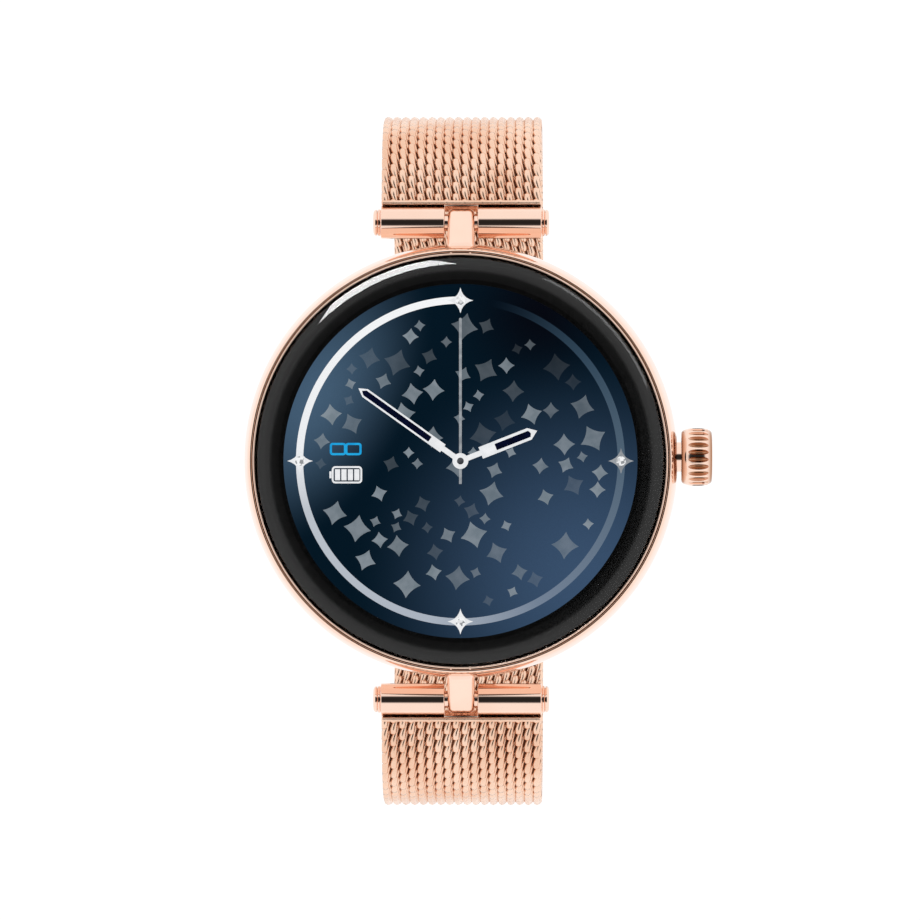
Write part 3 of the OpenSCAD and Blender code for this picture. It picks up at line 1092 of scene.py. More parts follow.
@dataclass
class Case:
    """The barrel-shaped case with its bezel, lugs, glass and black border."""

    outer: tuple[Point2, ...] = (
        (17.5, 0.8), (18.2, 1.4), (18.7, 2.8), (18.93, 4.4), (18.97, 5.4), (18.9, 6.8),
        (18.72, 8.1), (18.52, 9.05), (18.36, 9.46),
    )
    rim_z: float = 9.55
    pocket_r: float = 18.14
    seat_z: float = 7.95
    hollow_r: float = 16.4
    floor_z: float = 1.7
    back_r: float = 16.05
    lug_width: float = 2.35
    lug_end_r: float = 1.2

    def shell(self) -> None:
        """Turns the case's wall with its rim and pocket, and bores it for the crown."""
        profile = [
            *smooth_line(self.outer, 5),
            (18.31, self.rim_z - 0.03), (18.27, self.rim_z), (self.pocket_r + 0.04, self.rim_z),
            (self.pocket_r, self.rim_z - 0.04), (self.pocket_r, self.seat_z),
            (self.hollow_r, self.seat_z), (self.hollow_r, self.floor_z),
            (self.back_r, self.floor_z), (self.back_r, 0.8),
        ]
        shell = Bench.turned("case_shell", profile, steps=256)
        bore = [(0.0, 15.5), (1.74, 15.5), (1.74, 18.2), (2.22, 18.2), (2.22, 20.0), (0.0, 20.0)]
        Bench.cut(shell, Bench.turned("crown_bore", bore, Axis.X, CROWN_AXIS, 96))
        mount(dress(Bench.smooth(shell), Finish.POLISHED), "case", Slot.GOLD, "case_body")

    def bezel(self) -> None:
        """Turns the thin lip around the glass and the flange that holds it."""
        profile = [
            (16.7, 8.02), (18.05, 8.02), (18.06, 9.52), (18.045, 9.6), (18.0, 9.65),
            (17.94, 9.655), (17.89, 9.61), (17.87, 9.52), (17.86, 8.5), (16.7, 8.5),
        ]
        ring = Bench.smooth(Bench.turned("bezel_lip", profile, steps=256), 50)
        mount(dress(ring, Finish.POLISHED), "case", Slot.GOLD, "bezel_ring")

    def lugs(self) -> None:
        """Extrudes the central lug, rounds its edges and copies it to 6 o'clock."""
        rim = (polar(self.lug_end_r, degrees) for degrees in range(-90, 50, 9))
        arc = [(BAR_Y + dy, BAR_Z + dz) for dy, dz in rim]
        side = [(17.4, 2.9), *arc, (BAR_Y, 5.75), (19.9, 6.82), (18.75, 8.0), (17.4, 8.0)]
        half = self.lug_width / 2
        lug = Bench.bar("upper_lug", side, -half, half)
        Bench.eased(lug, 0.46, 6, 40)
        Bench.smooth(lug, 40)
        dress(lug, Finish.POLISHED)
        twin = Bench.copy(lug, "lower_lug", Matrix.Rotation(math.pi, 4, "Z"))
        mount(lug, "case", Slot.GOLD)
        mount(twin, "case", Slot.GOLD)

    def glass(self) -> None:
        """Turns the cover glass with its domed edge."""
        top = smooth_line(
            [
                (14.2, 10.25), (15.0, 10.235), (16.1, 10.15), (17.0, 9.98), (17.5, 9.75),
                (17.75, 9.48), (17.82, 9.2),
            ],
            4,
        )
        profile = [(0.0, 10.25), (13.4, 10.25), *top, (17.82, 8.85), (17.66, 8.68), (0.0, 8.68)]
        glass = Bench.smooth(Bench.turned("domed_glass", profile, steps=256), 50)
        mount(dress(glass, Finish.GLASS), "case", Slot.GLASS, "cover_glass")

    def border(self) -> None:
        """Turns the black border printed under the glass."""
        profile = [(15.4, 8.6), (17.78, 8.6), (17.78, 8.66), (15.43, 8.66), (15.4, 8.65)]
        border = Bench.smooth(Bench.turned("black_border", profile, steps=256))
        mount(dress(border, Finish.INK), "case", Slot.PRINT, "border_film")

    def build(self) -> None:
        """Builds every piece of the case."""
        self.shell()
        self.bezel()
        self.lugs()
        self.glass()
        self.border()


# ------------------------------------------------------------------- the dial


class Layer(Enum):
    """Heights of the lit layers on the screen, each as (low, high)."""

    STARS = (8.46, 8.47)
    RING = (8.475, 8.485)
    MARKERS = (8.487, 8.497)
    ICONS = (8.49, 8.5)
    GEMS = (8.505, 8.525)
    SECOND = (8.505, 8.515)
    HOUR = (8.52, 8.53)
    HOUR_INLAY = (8.532, 8.54)
    MINUTE = (8.545, 8.555)
    MINUTE_INLAY = (8.557, 8.565)
    HUB = (8.57, 8.58)
    HUB_EYE = (8.582, 8.59)


@dataclass
class Hand:
    """One outlined hand, pointing at an angle from +X."""

    name: str
    degrees: float
    length: float
    width: float
    inlay_width: float
    block_from: float
    inlay_from: float
    point_from: float
    layer: Layer
    inlay_layer: Layer
    stem_width: float = 0.47

    def aimed(self, points: Sequence[Point2]) -> list[Point2]:
        """Turns points drawn along +X to the hand's own angle.

        Args:
            points: The points to turn.

        Returns:
            The turned points.
        """
        turn = Matrix.Rotation(math.radians(self.degrees), 2)
        return [tuple(turn @ Vector(point)) for point in points]

    def build(self) -> None:
        """Cuts the white hand and lays the dark strip on it."""
        half, stem, strip = self.width / 2, self.stem_width / 2, self.inlay_width / 2
        edge = (self.width - self.inlay_width) / 2
        body = [
            (0.3, -stem), (self.block_from, -stem), (self.block_from, -half),
            (self.point_from, -half), (self.length, 0.0), (self.point_from, half),
            (self.block_from, half), (self.block_from, stem), (0.3, stem),
        ]
        hand = Bench.plate(self.name, self.aimed(body), *self.layer.value)
        mount(dress(hand, Finish.WHITE), "case", Slot.SCREEN)
        strip_end = self.length - edge * 2.4
        inlay = [
            (self.inlay_from, -strip), (self.point_from, -strip), (strip_end, 0.0),
            (self.point_from, strip), (self.inlay_from, strip),
        ]
        dark = Bench.plate(f"{self.name}_inlay", self.aimed(inlay), *self.inlay_layer.value)
        mount(dress(dark, Finish.NAVY), "case", Slot.SCREEN)


@dataclass
class Dial:
    """The lit screen with its ring, markers, stars, icons and hands."""

    panel_r: float = 16.3
    ring_r: float = 14.0
    ring_width: float = 0.63
    marker_r: float = 13.97
    marker_size: float = 1.12
    gem_r: float = 0.41
    star_count: int = 84
    star_seed: int = 20
    star_tries: int = 6000
    full_size_tries: int = 2500
    star_sizes: tuple[float, ...] = (0.5, 0.72, 0.95, 1.08, 1.2)
    star_shares: tuple[float, ...] = (0.1, 0.25, 0.4, 0.5, 0.62)
    star_gap: float = 0.12
    star_field_r: float = 12.9
    hands: tuple[Hand, ...] = (
        Hand("hour_hand", 21.5, 7.18, 1.07, 0.58, 1.9, 3.3, 6.45, Layer.HOUR, Layer.HOUR_INLAY),
        Hand(
            "minute_hand", 144.5, 10.9, 0.83, 0.51, 1.87, 3.25, 10.2,
            Layer.MINUTE, Layer.MINUTE_INLAY,
        ),
    )

    @staticmethod
    def star(middle: Point2, size: float, turn: float, waist: float) -> list[Point2]:
        """Outline of a star with four points and hollow sides.

        Args:
            middle: Its centre.
            size: Distance from the centre to a point.
            turn: Angle of its first point in degrees.
            waist: Least radius between points, as a share of the size.

        Returns:
            The corners in order.
        """
        points: list[Point2] = []
        for quarter in range(4):
            tip = Vector(polar(size, turn + 90 * quarter))
            after = Vector(polar(size, turn + 90 * quarter + 90))
            hollow = Vector(polar(size * waist * 0.82, turn + 90 * quarter + 45))
            for t in (0.0, 0.2, 0.4, 0.6, 0.8):
                spot = tip * (1 - t) ** 2 + hollow * 2 * t * (1 - t) + after * t**2
                points.append((middle[0] + spot.x, middle[1] + spot.y))
        return points

    def lit(self, piece: Piece, finish: Finish) -> Piece:
        """Dresses a piece of the screen and fixes it to the case.

        Args:
            piece: The piece.
            finish: Its finish.

        Returns:
            The same piece.
        """
        return mount(dress(piece, finish), "case", Slot.SCREEN)

    def panel(self) -> None:
        """Turns the screen's panel, which carries the lit ground."""
        r = self.panel_r
        rim = [(15.6, 7.3), (15.6, 7.6), (r, 7.6), (r, 8.4), (r - 0.05, 8.45)]
        profile = [(0, 7.3), *rim, (0, 8.45)]
        panel = Bench.smooth(Bench.turned("lit_screen", profile))
        mount(dress(panel, Finish.GROUND), "case", Slot.SCREEN, "display_panel")

    def ring(self) -> None:
        """Turns the hour ring."""
        low, high = Layer.RING.value
        inner, outer = self.ring_r - self.ring_width / 2, self.ring_r + self.ring_width / 2
        profile = [(inner, low), (outer, low), (outer, high), (inner, high)]
        self.lit(Bench.turned("hour_ring", profile, steps=256), Finish.RING)

    def markers(self) -> None:
        """Cuts the four star markers and the gem on each."""
        tones = (Finish.GREY, Finish.WHITE, Finish.WHITE, Finish.WHITE)
        for number, (hour, tone) in enumerate(zip((3, 12, 9, 6), tones)):
            middle = polar(self.marker_r, 90 * number)
            shape = self.star(middle, self.marker_size, 0, 0.3)
            self.lit(Bench.plate(f"marker_{hour}", shape, *Layer.MARKERS.value), tone)
            rim = (polar(self.gem_r, 18 * k) for k in range(20))
            gem = [(middle[0] + dx, middle[1] + dy) for dx, dy in rim]
            self.lit(Bench.plate(f"marker_gem_{hour}", gem, *Layer.GEMS.value), Finish.GEM)

    def scatter(self) -> list[tuple[Point2, float, float, float]]:
        """Places the stars at random, none over another.

        Returns:
            Each star as (centre, size, turn, brightness share).
        """
        chance = random.Random(self.star_seed)
        stars: list[tuple[Point2, float, float, float]] = []
        for attempt in range(self.star_tries):
            if len(stars) == self.star_count:
                break
            size = chance.choice(self.star_sizes)
            size *= 1.0 if attempt < self.full_size_tries else 0.75
            radius = self.star_field_r * math.sqrt(chance.random())
            middle = polar(min(radius, self.star_field_r - size), chance.uniform(0, 360))
            gaps = (math.dist(middle, other) - 0.9 * (size + s) for other, s, *_ in stars)
            by_icons = -11.9 < middle[0] < -8.0 and -2.6 < middle[1] < 2.2
            if all(gap > self.star_gap for gap in gaps) and not by_icons:
                fade = max(0.0, middle[0] / 13) * max(0.0, middle[1] / 13)
                share = chance.choice(self.star_shares) - 0.9 * fade
                stars.append((middle, size, chance.uniform(-28, 28), max(0.04, share)))
        return stars

    def stars(self) -> None:
        """Cuts all scattered stars as one piece, each with its brightness."""
        pieces, shares = [], []
        for number, (middle, size, turn, share) in enumerate(self.scatter()):
            shape = self.star(middle, size, turn, 0.55)
            star = Bench.plate(f"star_{number}", shape, *Layer.STARS.value)
            pieces.append(star)
            shares += [share] * len(star.data.vertices)
        stars = Bench.joined("dial_stars", pieces)
        store = stars.data.attributes.new("share", "FLOAT", "POINT")
        store.data.foreach_set("value", shares)
        self.lit(stars, Finish.STARS)

    @staticmethod
    def frame_plate(name: str, low: Point2, high: Point2, corner: float, stroke: float) -> Piece:
        """A flat rounded frame: an outline, inset and emptied, then thickened.

        Args:
            name: Name of the new piece.
            low: Its lowest corner.
            high: Its highest corner.
            corner: Radius of its corners.
            stroke: Width of its bars.

        Returns:
            The new piece.
        """
        z0, z1 = Layer.ICONS.value
        points = []
        for k, (cx, cy) in enumerate(((1, 1), (0, 1), (0, 0), (1, 0))):
            mx = high[0] - corner if cx else low[0] + corner
            my = high[1] - corner if cy else low[1] + corner
            for a in (0, 30, 60, 90):
                dx, dy = polar(corner, 90 * k + a)
                points.append((mx + dx, my + dy, z0))
        piece = Bench.outline(name, points, filled=True)
        Bench.edit(piece)
        bpy.ops.mesh.inset(thickness=stroke * MM)
        bpy.ops.mesh.delete(type="FACE")
        bpy.ops.mesh.select_all(action="SELECT")
        bpy.ops.mesh.extrude_region_move(TRANSFORM_OT_translate={"value": (0, 0, (z1 - z0) * MM)})
        return Bench.close(piece)

    def icons(self) -> None:
        """Cuts the link icon and the battery icon."""
        width, low, high = 1.42, 0.5, 1.58
        squares = []
        for k in (0, 1):
            x = -11.37 + k * (width - 0.07)
            squares.append(self.frame_plate(f"link_{k}", (x, low), (x + width, high), 0.24, 0.19))
        self.lit(Bench.joined("link_icon", squares), Finish.CYAN)
        parts = [self.frame_plate("battery_frame", (-11.2, -1.95), (-8.55, -0.45), 0.3, 0.16)]
        oblongs = [("battery_nub", -11.4, -11.22, -1.5, -0.9)]
        for k in range(4):
            x = -10.92 + k * 0.56
            oblongs.append((f"battery_bar_{k}", x, x + 0.45, -1.68, -0.72))
        for name, x0, x1, y0, y1 in oblongs:
            outline = [(x0, y0), (x1, y0), (x1, y1), (x0, y1)]
            parts.append(Bench.plate(name, outline, *Layer.ICONS.value))
        self.lit(Bench.joined("battery_icon", parts), Finish.WHITE)

    def second_hand(self) -> None:
        """Cuts the thin second hand and the hub over all hands."""
        half, tail, tip = 0.12, -2.0, 12.35
        point = [(half, tip), (0.07, tip + 0.1), (-0.07, tip + 0.1), (-half, tip)]
        bar = [(-half, tail), (half, tail), *point]
        self.lit(Bench.plate("second_hand", bar, *Layer.SECOND.value), Finish.GREY)
        hub = [polar(0.69, 9 * k) for k in range(40)]
        self.lit(Bench.plate("hand_hub", hub, *Layer.HUB.value), Finish.WHITE)
        eye = [polar(0.3, 15 * k) for k in range(24)]
        self.lit(Bench.plate("hub_eye", eye, *Layer.HUB_EYE.value), Finish.HUB)

    def build(self) -> None:
        """Builds the whole dial."""
        self.panel()
        self.ring()
        self.markers()
        self.stars()
        self.icons()
        self.second_hand()
        for hand in self.hands:
            hand.build()


# ------------------------------------------------------------------ the crown


@dataclass
class Crown:
    """The fluted crown with its collar and neck, turned about X."""

    knob_x: float = 19.25
    knob_l: float = 2.7
    knob_r: float = 2.52
    flutes: int = 24
    flute_phase: float = 0.35
    flute_size: Point3 = (0.95, 0.26, 0.42)

    def collar(self) -> None:
        """Turns the tube and the collar that stands out of the case."""
        profile = [
            (1.36, 18.85), (1.36, 17.1), (0.86, 17.0), (0.86, 15.9), (1.7, 15.9), (1.7, 18.2),
            (2.1, 18.2), (2.18, 18.3), (2.18, 18.72), (2.14, 18.81), (2.05, 18.85),
        ]
        collar = Bench.turned("crown_collar", profile, Axis.X, CROWN_AXIS, 96)
        mount(dress(Bench.smooth(collar), Finish.POLISHED), "case", Slot.GOLD, "crown_tube")

    def neck(self) -> None:
        """Turns the stem and the neck between collar and knob."""
        profile = [
            (0.0, 13.95), (0.7, 13.95), (0.8, 14.05), (0.8, 15.5), (0.5, 15.5), (0.5, 15.9),
            (0.8, 15.9), (0.8, 17.6), (1.3, 17.65), (1.3, 18.1), (1.0, 18.12), (1.0, 18.5),
            (1.3, 18.52), (1.3, 20.9), (0.0, 20.9),
        ]
        neck = Bench.turned("crown_neck", profile, Axis.X, CROWN_AXIS, 64)
        mount(dress(Bench.smooth(neck), Finish.POLISHED), "crown_turning", Slot.GOLD, "crown_stem")

    def knob(self) -> None:
        """Turns the knob, then cuts one lens-shaped flute after another."""
        x0, x1, r = self.knob_x, self.knob_x + self.knob_l, self.knob_r
        side = smooth_line(
            [
                (r - 0.5, x0), (r - 0.3, x0 + 0.06), (r - 0.14, x0 + 0.3), (r - 0.02, x0 + 0.8),
                (r, (x0 + x1) / 2), (r - 0.02, x1 - 0.8), (r - 0.14, x1 - 0.3),
                (r - 0.3, x1 - 0.07), (r - 0.52, x1),
            ],
            4,
        )
        profile = [(1.34, x0), *side, (1.0, x1), (0.0, x1), (0.0, 20.95), (1.34, 20.95)]
        knob = Bench.turned("crown_knob_fluted", profile, Axis.X, CROWN_AXIS, 144)
        middle = Vector(CROWN_AXIS) * MM
        for number in range(self.flutes):
            Bench.clear()
            bpy.ops.mesh.primitive_uv_sphere_add(segments=20, ring_count=14, radius=MM)
            cutter = bpy.context.object
            cutter.scale = self.flute_size
            Bench.settle(cutter)
            turn = FULL_TURN * (number + self.flute_phase) / self.flutes
            place = Matrix.Translation(middle) @ Matrix.Rotation(turn, 4, "X")
            place = place @ Matrix.Translation(Vector(((x0 + x1) / 2 + 0.16, 0, r + 0.04)) * MM)
            cutter.data.transform(place)
            Bench.cut(knob, cutter)
        # the finish paints shade into the floor of each flute
        dress(Bench.smooth(knob, 28), Finish.FLUTED)
        mount(knob, "crown_turning", Slot.GOLD, "crown_knob")

    def build(self) -> None:
        """Builds the crown."""
        self.collar()
        self.neck()
        self.knob()


# ------------------------------------------------------------------ the strap


class Half(Enum):
    """The two halves of the strap, each with its side of Y."""

    UPPER = 1
    LOWER = -1

    @property
    def label(self) -> str:
        """The half's name in lower case."""
        return self.name.lower()


@dataclass(frozen=True)
class StrapPath:
    """The strap's middle layer, from its bar to the clasp, seen from the side."""

    reach_y: float = 30.2
    angles: tuple[float, ...] = (14.0, 80.0, 105.0, 180.0)
    radii: tuple[float, ...] = (6.7, 60.0)
    flat: float = 12.5
    bounds: tuple[float, ...] = (14.0, 47.0, 80.0, 105.0, 130.0, 155.0, 180.0)

    def legs(self) -> list[tuple[float, float, float, float, float]]:
        """Each leg as (length from the bar, y, z, angle in radians, radius)."""
        a = [math.radians(v) for v in self.angles]
        sides = self.radii[0] * (math.sin(a[1]) - math.sin(a[0]))
        sides += self.radii[1] * (1 - math.sin(a[1]))
        lead = (self.reach_y - BAR_Y - sides) / math.cos(a[0])
        y, z = BAR_Y, BAR_Z
        legs = [(0.0, y, z, a[0], math.inf)]
        s, y, z = lead, y + lead * math.cos(a[0]), z - lead * math.sin(a[0])
        for number, (start, end) in enumerate(zip(a, a[1:])):
            radius = (*self.radii, (y - self.flat) / math.sin(start))[number]
            legs.append((s, y, z, start, radius))
            s += radius * (end - start)
            y += radius * (math.sin(end) - math.sin(start))
            z += radius * (math.cos(end) - math.cos(start))
        return [*legs, (s, y, z, a[-1], math.inf)]

    def length_at(self, degrees: float) -> float:
        """Length from the bar to where the strap has turned this far.

        Args:
            degrees: How far it has turned.

        Returns:
            The length in mm.
        """
        angle = math.radians(degrees)
        leg = [g for g in self.legs() if g[4] != math.inf and g[3] <= angle + 1e-9][-1]
        return leg[0] + leg[4] * (angle - leg[3])

    def place(self, s: np.ndarray, w: np.ndarray) -> tuple[np.ndarray, np.ndarray]:
        """Bends flat points onto the strap.

        Args:
            s: Their lengths from the bar, in mm.
            w: Their distances outwards from the middle layer, in mm.

        Returns:
            Their places in Y and Z, in mm.
        """
        y, z = np.zeros_like(s), np.zeros_like(s)
        legs = self.legs()
        for number, (s0, y0, z0, a0, radius) in enumerate(legs):
            end = legs[number + 1][0] if number + 1 < len(legs) else math.inf
            here = (s >= s0) & (s < end) if number else s < end
            if radius == math.inf:
                angle = np.full(here.sum(), a0)
                py = y0 + (s[here] - s0) * math.cos(a0)
                pz = z0 - (s[here] - s0) * math.sin(a0)
            else:
                angle = a0 + (s[here] - s0) / radius
                py = y0 + radius * (np.sin(angle) - math.sin(a0))
                pz = z0 + radius * (np.cos(angle) - math.cos(a0))
            y[here] = py + w[here] * np.sin(angle)
            z[here] = pz + w[here] * np.cos(angle)
        return y, z


@dataclass
class Weave:
    """The woven mesh of one half, in stretches that bend over one hinge each."""

    half: Half
    end_y: float
    path: StrapPath = StrapPath()
    start: float = 1.47
    band: float = 0.3
    pitch: float = 1.05
    columns: int = 18
    column_pitch: float = 0.784
    core_inset: float = 0.25
    core_step: float = 0.6
    core_thick: float = 0.5
    link: tuple[tuple[Point3, float, float], ...] = (
        ((-0.08, 0.66, 0.36), 0.13, 0.10), ((-0.08, 0.59, 0.42), 0.25, 0.24),
        ((-0.09, 0.44, 0.47), 0.32, 0.32), ((-0.08, 0.12, 0.46), 0.33, 0.33),
        ((-0.02, -0.18, 0.42), 0.305, 0.32), ((0.08, -0.48, 0.36), 0.26, 0.31),
        ((0.21, -0.82, 0.28), 0.205, 0.29), ((0.33, -1.16, 0.17), 0.15, 0.24),
        ((0.4, -1.42, 0.05), 0.09, 0.15),
    )

    def bend(self, piece: Piece) -> Piece:
        """Bends a flat piece onto the path.

        Args:
            piece: The piece, drawn as (across, along, outwards).

        Returns:
            The same piece.
        """
        mesh = piece.data
        flat = np.empty(len(mesh.vertices) * 3)
        mesh.vertices.foreach_get("co", flat)
        flat = flat.reshape(-1, 3) / MM
        limit = STRAP_WIDTH / 2
        x = np.clip(flat[:, 0], -limit, limit)
        along = np.maximum(flat[:, 1], self.start)
        y, z = self.path.place(along, flat[:, 2])
        bent = np.stack([x, y * self.half.value, z], axis=1) * MM
        mesh.vertices.foreach_set("co", bent.ravel())
        if self.half is Half.UPPER:
            mesh.flip_normals()
        mesh.update()
        return piece

    def sheet_of_links(self, name: str, first: float, rows: int) -> Piece:
        """One link, copied into staggered columns and rows on both faces.

        Args:
            name: Name of the new piece.
            first: Place of the first row along the strap.
            rows: Number of rows.

        Returns:
            The flat sheet of links.
        """
        left = -(self.columns - 1) / 2 * self.column_pitch
        link = Bench.swept(name, self.link, 8)
        Bench.smooth(link, 80, weighted=False)
        pair = Matrix.Translation(Vector((self.column_pitch, -self.pitch / 2, 0)) * MM)
        unit = Bench.joined(name, [link, Bench.copy(link, f"{name}_next", pair)])
        unit.data.transform(Matrix.Translation(Vector((left, first + self.pitch / 4, 0)) * MM))
        steps = (
            (self.columns // 2, (2 * self.column_pitch, 0, 0)),
            (rows, (0, self.pitch, 0)),
        )
        for count, step in steps:
            Bench.modified(
                unit,
                "ARRAY",
                count=count,
                use_relative_offset=False,
                use_constant_offset=True,
                constant_offset_displace=Vector(step) * MM,
            )
        under = Bench.copy(unit, f"{name}_under", Matrix.Rotation(math.pi, 4, "Y"))
        return Bench.joined(name, [unit, under])

    def core(self, name: str, s0: float, s1: float) -> Piece:
        """A dark sheet inside the weave between two lengths, painted shade for the shadow between
        the links.

        Args:
            name: Name of the new piece.
            s0: Length at which it starts.
            s1: Length at which it ends.

        Returns:
            The flat sheet of painted shade.
        """
        Bench.clear()
        cuts = max(2, round((s1 - s0) / self.core_step))
        bpy.ops.mesh.primitive_grid_add(x_subdivisions=2, y_subdivisions=cuts, size=MM)
        core = bpy.context.object
        core.name = name
        core.scale = (STRAP_WIDTH - 2 * self.core_inset, s1 - s0, 1)
        core.location = (0, (s0 + s1) / 2 * MM, 0)
        Bench.settle(core)
        return Bench.modified(core, "SOLIDIFY", thickness=self.core_thick * MM, offset=0)

    def end_band(self) -> None:
        """The smooth welded edge beside the sleeves."""
        label = self.half.label
        half_w, half_t = STRAP_WIDTH / 2, STRAP_THICK / 2 - 0.02
        low = (-half_w, self.start, -half_t)
        high = (half_w, self.start + self.band + 0.1, half_t)
        band = Bench.eased(Bench.block(f"{label}_weave_edge", low, high), 0.13, 3)
        dress(Bench.smooth(self.bend(band)), Finish.WIRE)
        mount(band, f"{label}_end", Slot.MESH, f"{label}_mesh_0")

    def stretch(self, number: int) -> None:
        """Weaves the stretch that bends over one hinge.

        Args:
            number: The hinge's number, from 1 at the bar.
        """
        label = self.half.label
        edges = [self.path.length_at(a) for a in self.path.bounds]
        first_row = self.start + self.band - 0.1
        s0, s1 = edges[number - 1], edges[number]
        if number == 1:
            s0 = self.start + self.band
        last = number == len(edges) - 1
        if last:
            s1 = self.path.legs()[-1][0] + self.path.flat - self.end_y
        low_row = 0 if number == 1 else math.ceil((s0 - first_row) / self.pitch)
        high_row = math.ceil((s1 - (0.7 if last else 0) - first_row) / self.pitch)
        name = f"{label}_weave_{number}"
        links = self.sheet_of_links(name, first_row + low_row * self.pitch, high_row - low_row)
        dress(links, Finish.WIRE)
        # the dark sheet under the links is painted shade between them
        core = dress(self.core(f"{name}_core", s0, s1), Finish.GAP)
        piece = self.bend(Bench.joined(name, [links, core]))
        for length in (edges[number - 1], edges[number]):
            y, z = self.path.place(np.array([length]), np.array([0.0]))
        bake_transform(piece)
        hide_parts(f"{label}_mesh_{number}")
        log.info("%s: %d rows of links", name, high_row - low_row)

    def build(self) -> None:
        """Weaves the whole half."""
        self.end_band()
        for number in range(1, len(self.path.bounds)):
            self.stretch(number)


@dataclass
class StrapEnds:
    """The sleeves, their joining tab and the screws on the two strap bars."""

    leave: float = 14.0
    sleeve_r: float = 1.4
    bore_r: float = 0.78
    sleeve_x0: float = 1.45
    sleeve_x1: float = 7.05
    screw_r: float = 1.18

    def sleeve(self, side: int) -> Piece:
        """Turns one sleeve with rounded ends.

        Args:
            side: 1 on the crown side, -1 on the other.

        Returns:
            The new piece.
        """
        r, b, x0, x1, e = self.sleeve_r, self.bore_r, self.sleeve_x0, self.sleeve_x1, 0.09
        profile = [
            (b, x0), (r - e, x0), (r - e / 3, x0 + e / 3), (r, x0 + e), (r, x1 - e),
            (r - e / 3, x1 - e / 3), (r - e, x1), (b, x1),
        ]
        profile = [(radius, x * side) for radius, x in profile]
        return Bench.turned("sleeve", profile, Axis.X, (0, BAR_Y, BAR_Z), 96)

    def sleeves(self) -> Piece:
        """Joins both sleeves by the tab that runs under the mesh."""
        tab = Bench.eased(Bench.block("tab", (-7.0, 0.9, -1.3), (7.0, 2.6, -0.84)), 0.08, 2)
        relief = Bench.block("relief", (-self.sleeve_x0, 0, -3), (self.sleeve_x0, 1.38, 3))
        Bench.cut(tab, relief)
        turn = Matrix.Rotation(math.radians(-self.leave), 4, "X")
        move = Matrix.Translation(Vector((0, BAR_Y, BAR_Z)) * MM)
        bridge = Bench.eased(Bench.block("bridge", (-1.5, 1.34, -0.7), (1.5, 1.6, 0.55)), 0.06, 2)
        for piece in (tab, bridge):
            piece.data.transform(move @ turn)
        return Bench.joined("upper_sleeves", [self.sleeve(1), self.sleeve(-1), tab, bridge])

    def screws(self) -> Piece:
        """Turns the slotted screw at each end of the bar."""
        made = []
        for side in (1, -1):
            profile = [
                (0.0, 6.2), (0.38, 6.2), (0.38, 7.08), (1.1, 7.08), (self.screw_r, 7.14),
                (self.screw_r, 7.27), (1.12, 7.32), (1.0, 7.34), (1.0, 7.37), (1.14, 7.4),
                (1.14, 7.52), (1.05, 7.64), (0.9, 7.7), (0.0, 7.7),
            ]
            profile = [(radius, x * side) for radius, x in profile]
            middle = (0, BAR_Y, BAR_Z)
            screw = Bench.turned("screw", profile, Axis.X, middle, 64)
            x0, x1 = sorted((7.52 * side, 8 * side))
            low, high = (x0, BAR_Y - 2, BAR_Z - 0.13), (x1, BAR_Y + 2, BAR_Z + 0.13)
            made.append(Bench.cut(screw, Bench.block("slot", low, high)))
        return Bench.joined("upper_screws", made)

    def build(self) -> None:
        """Builds both strap ends, the second turned round from the first."""
        sleeves = dress(Bench.smooth(self.sleeves()), Finish.POLISHED)
        screws = dress(Bench.smooth(self.screws()), Finish.POLISHED)
        half_turn = Matrix.Rotation(math.pi, 4, "Z")
        for piece, node in ((sleeves, "end_sleeves"), (screws, "bar_screws")):
            twin = Bench.copy(piece, piece.name.replace("upper", "lower"), half_turn)
            mount(piece, "upper_end", Slot.GOLD, f"upper_{node}")
            mount(twin, "lower_end", Slot.GOLD, f"lower_{node}")


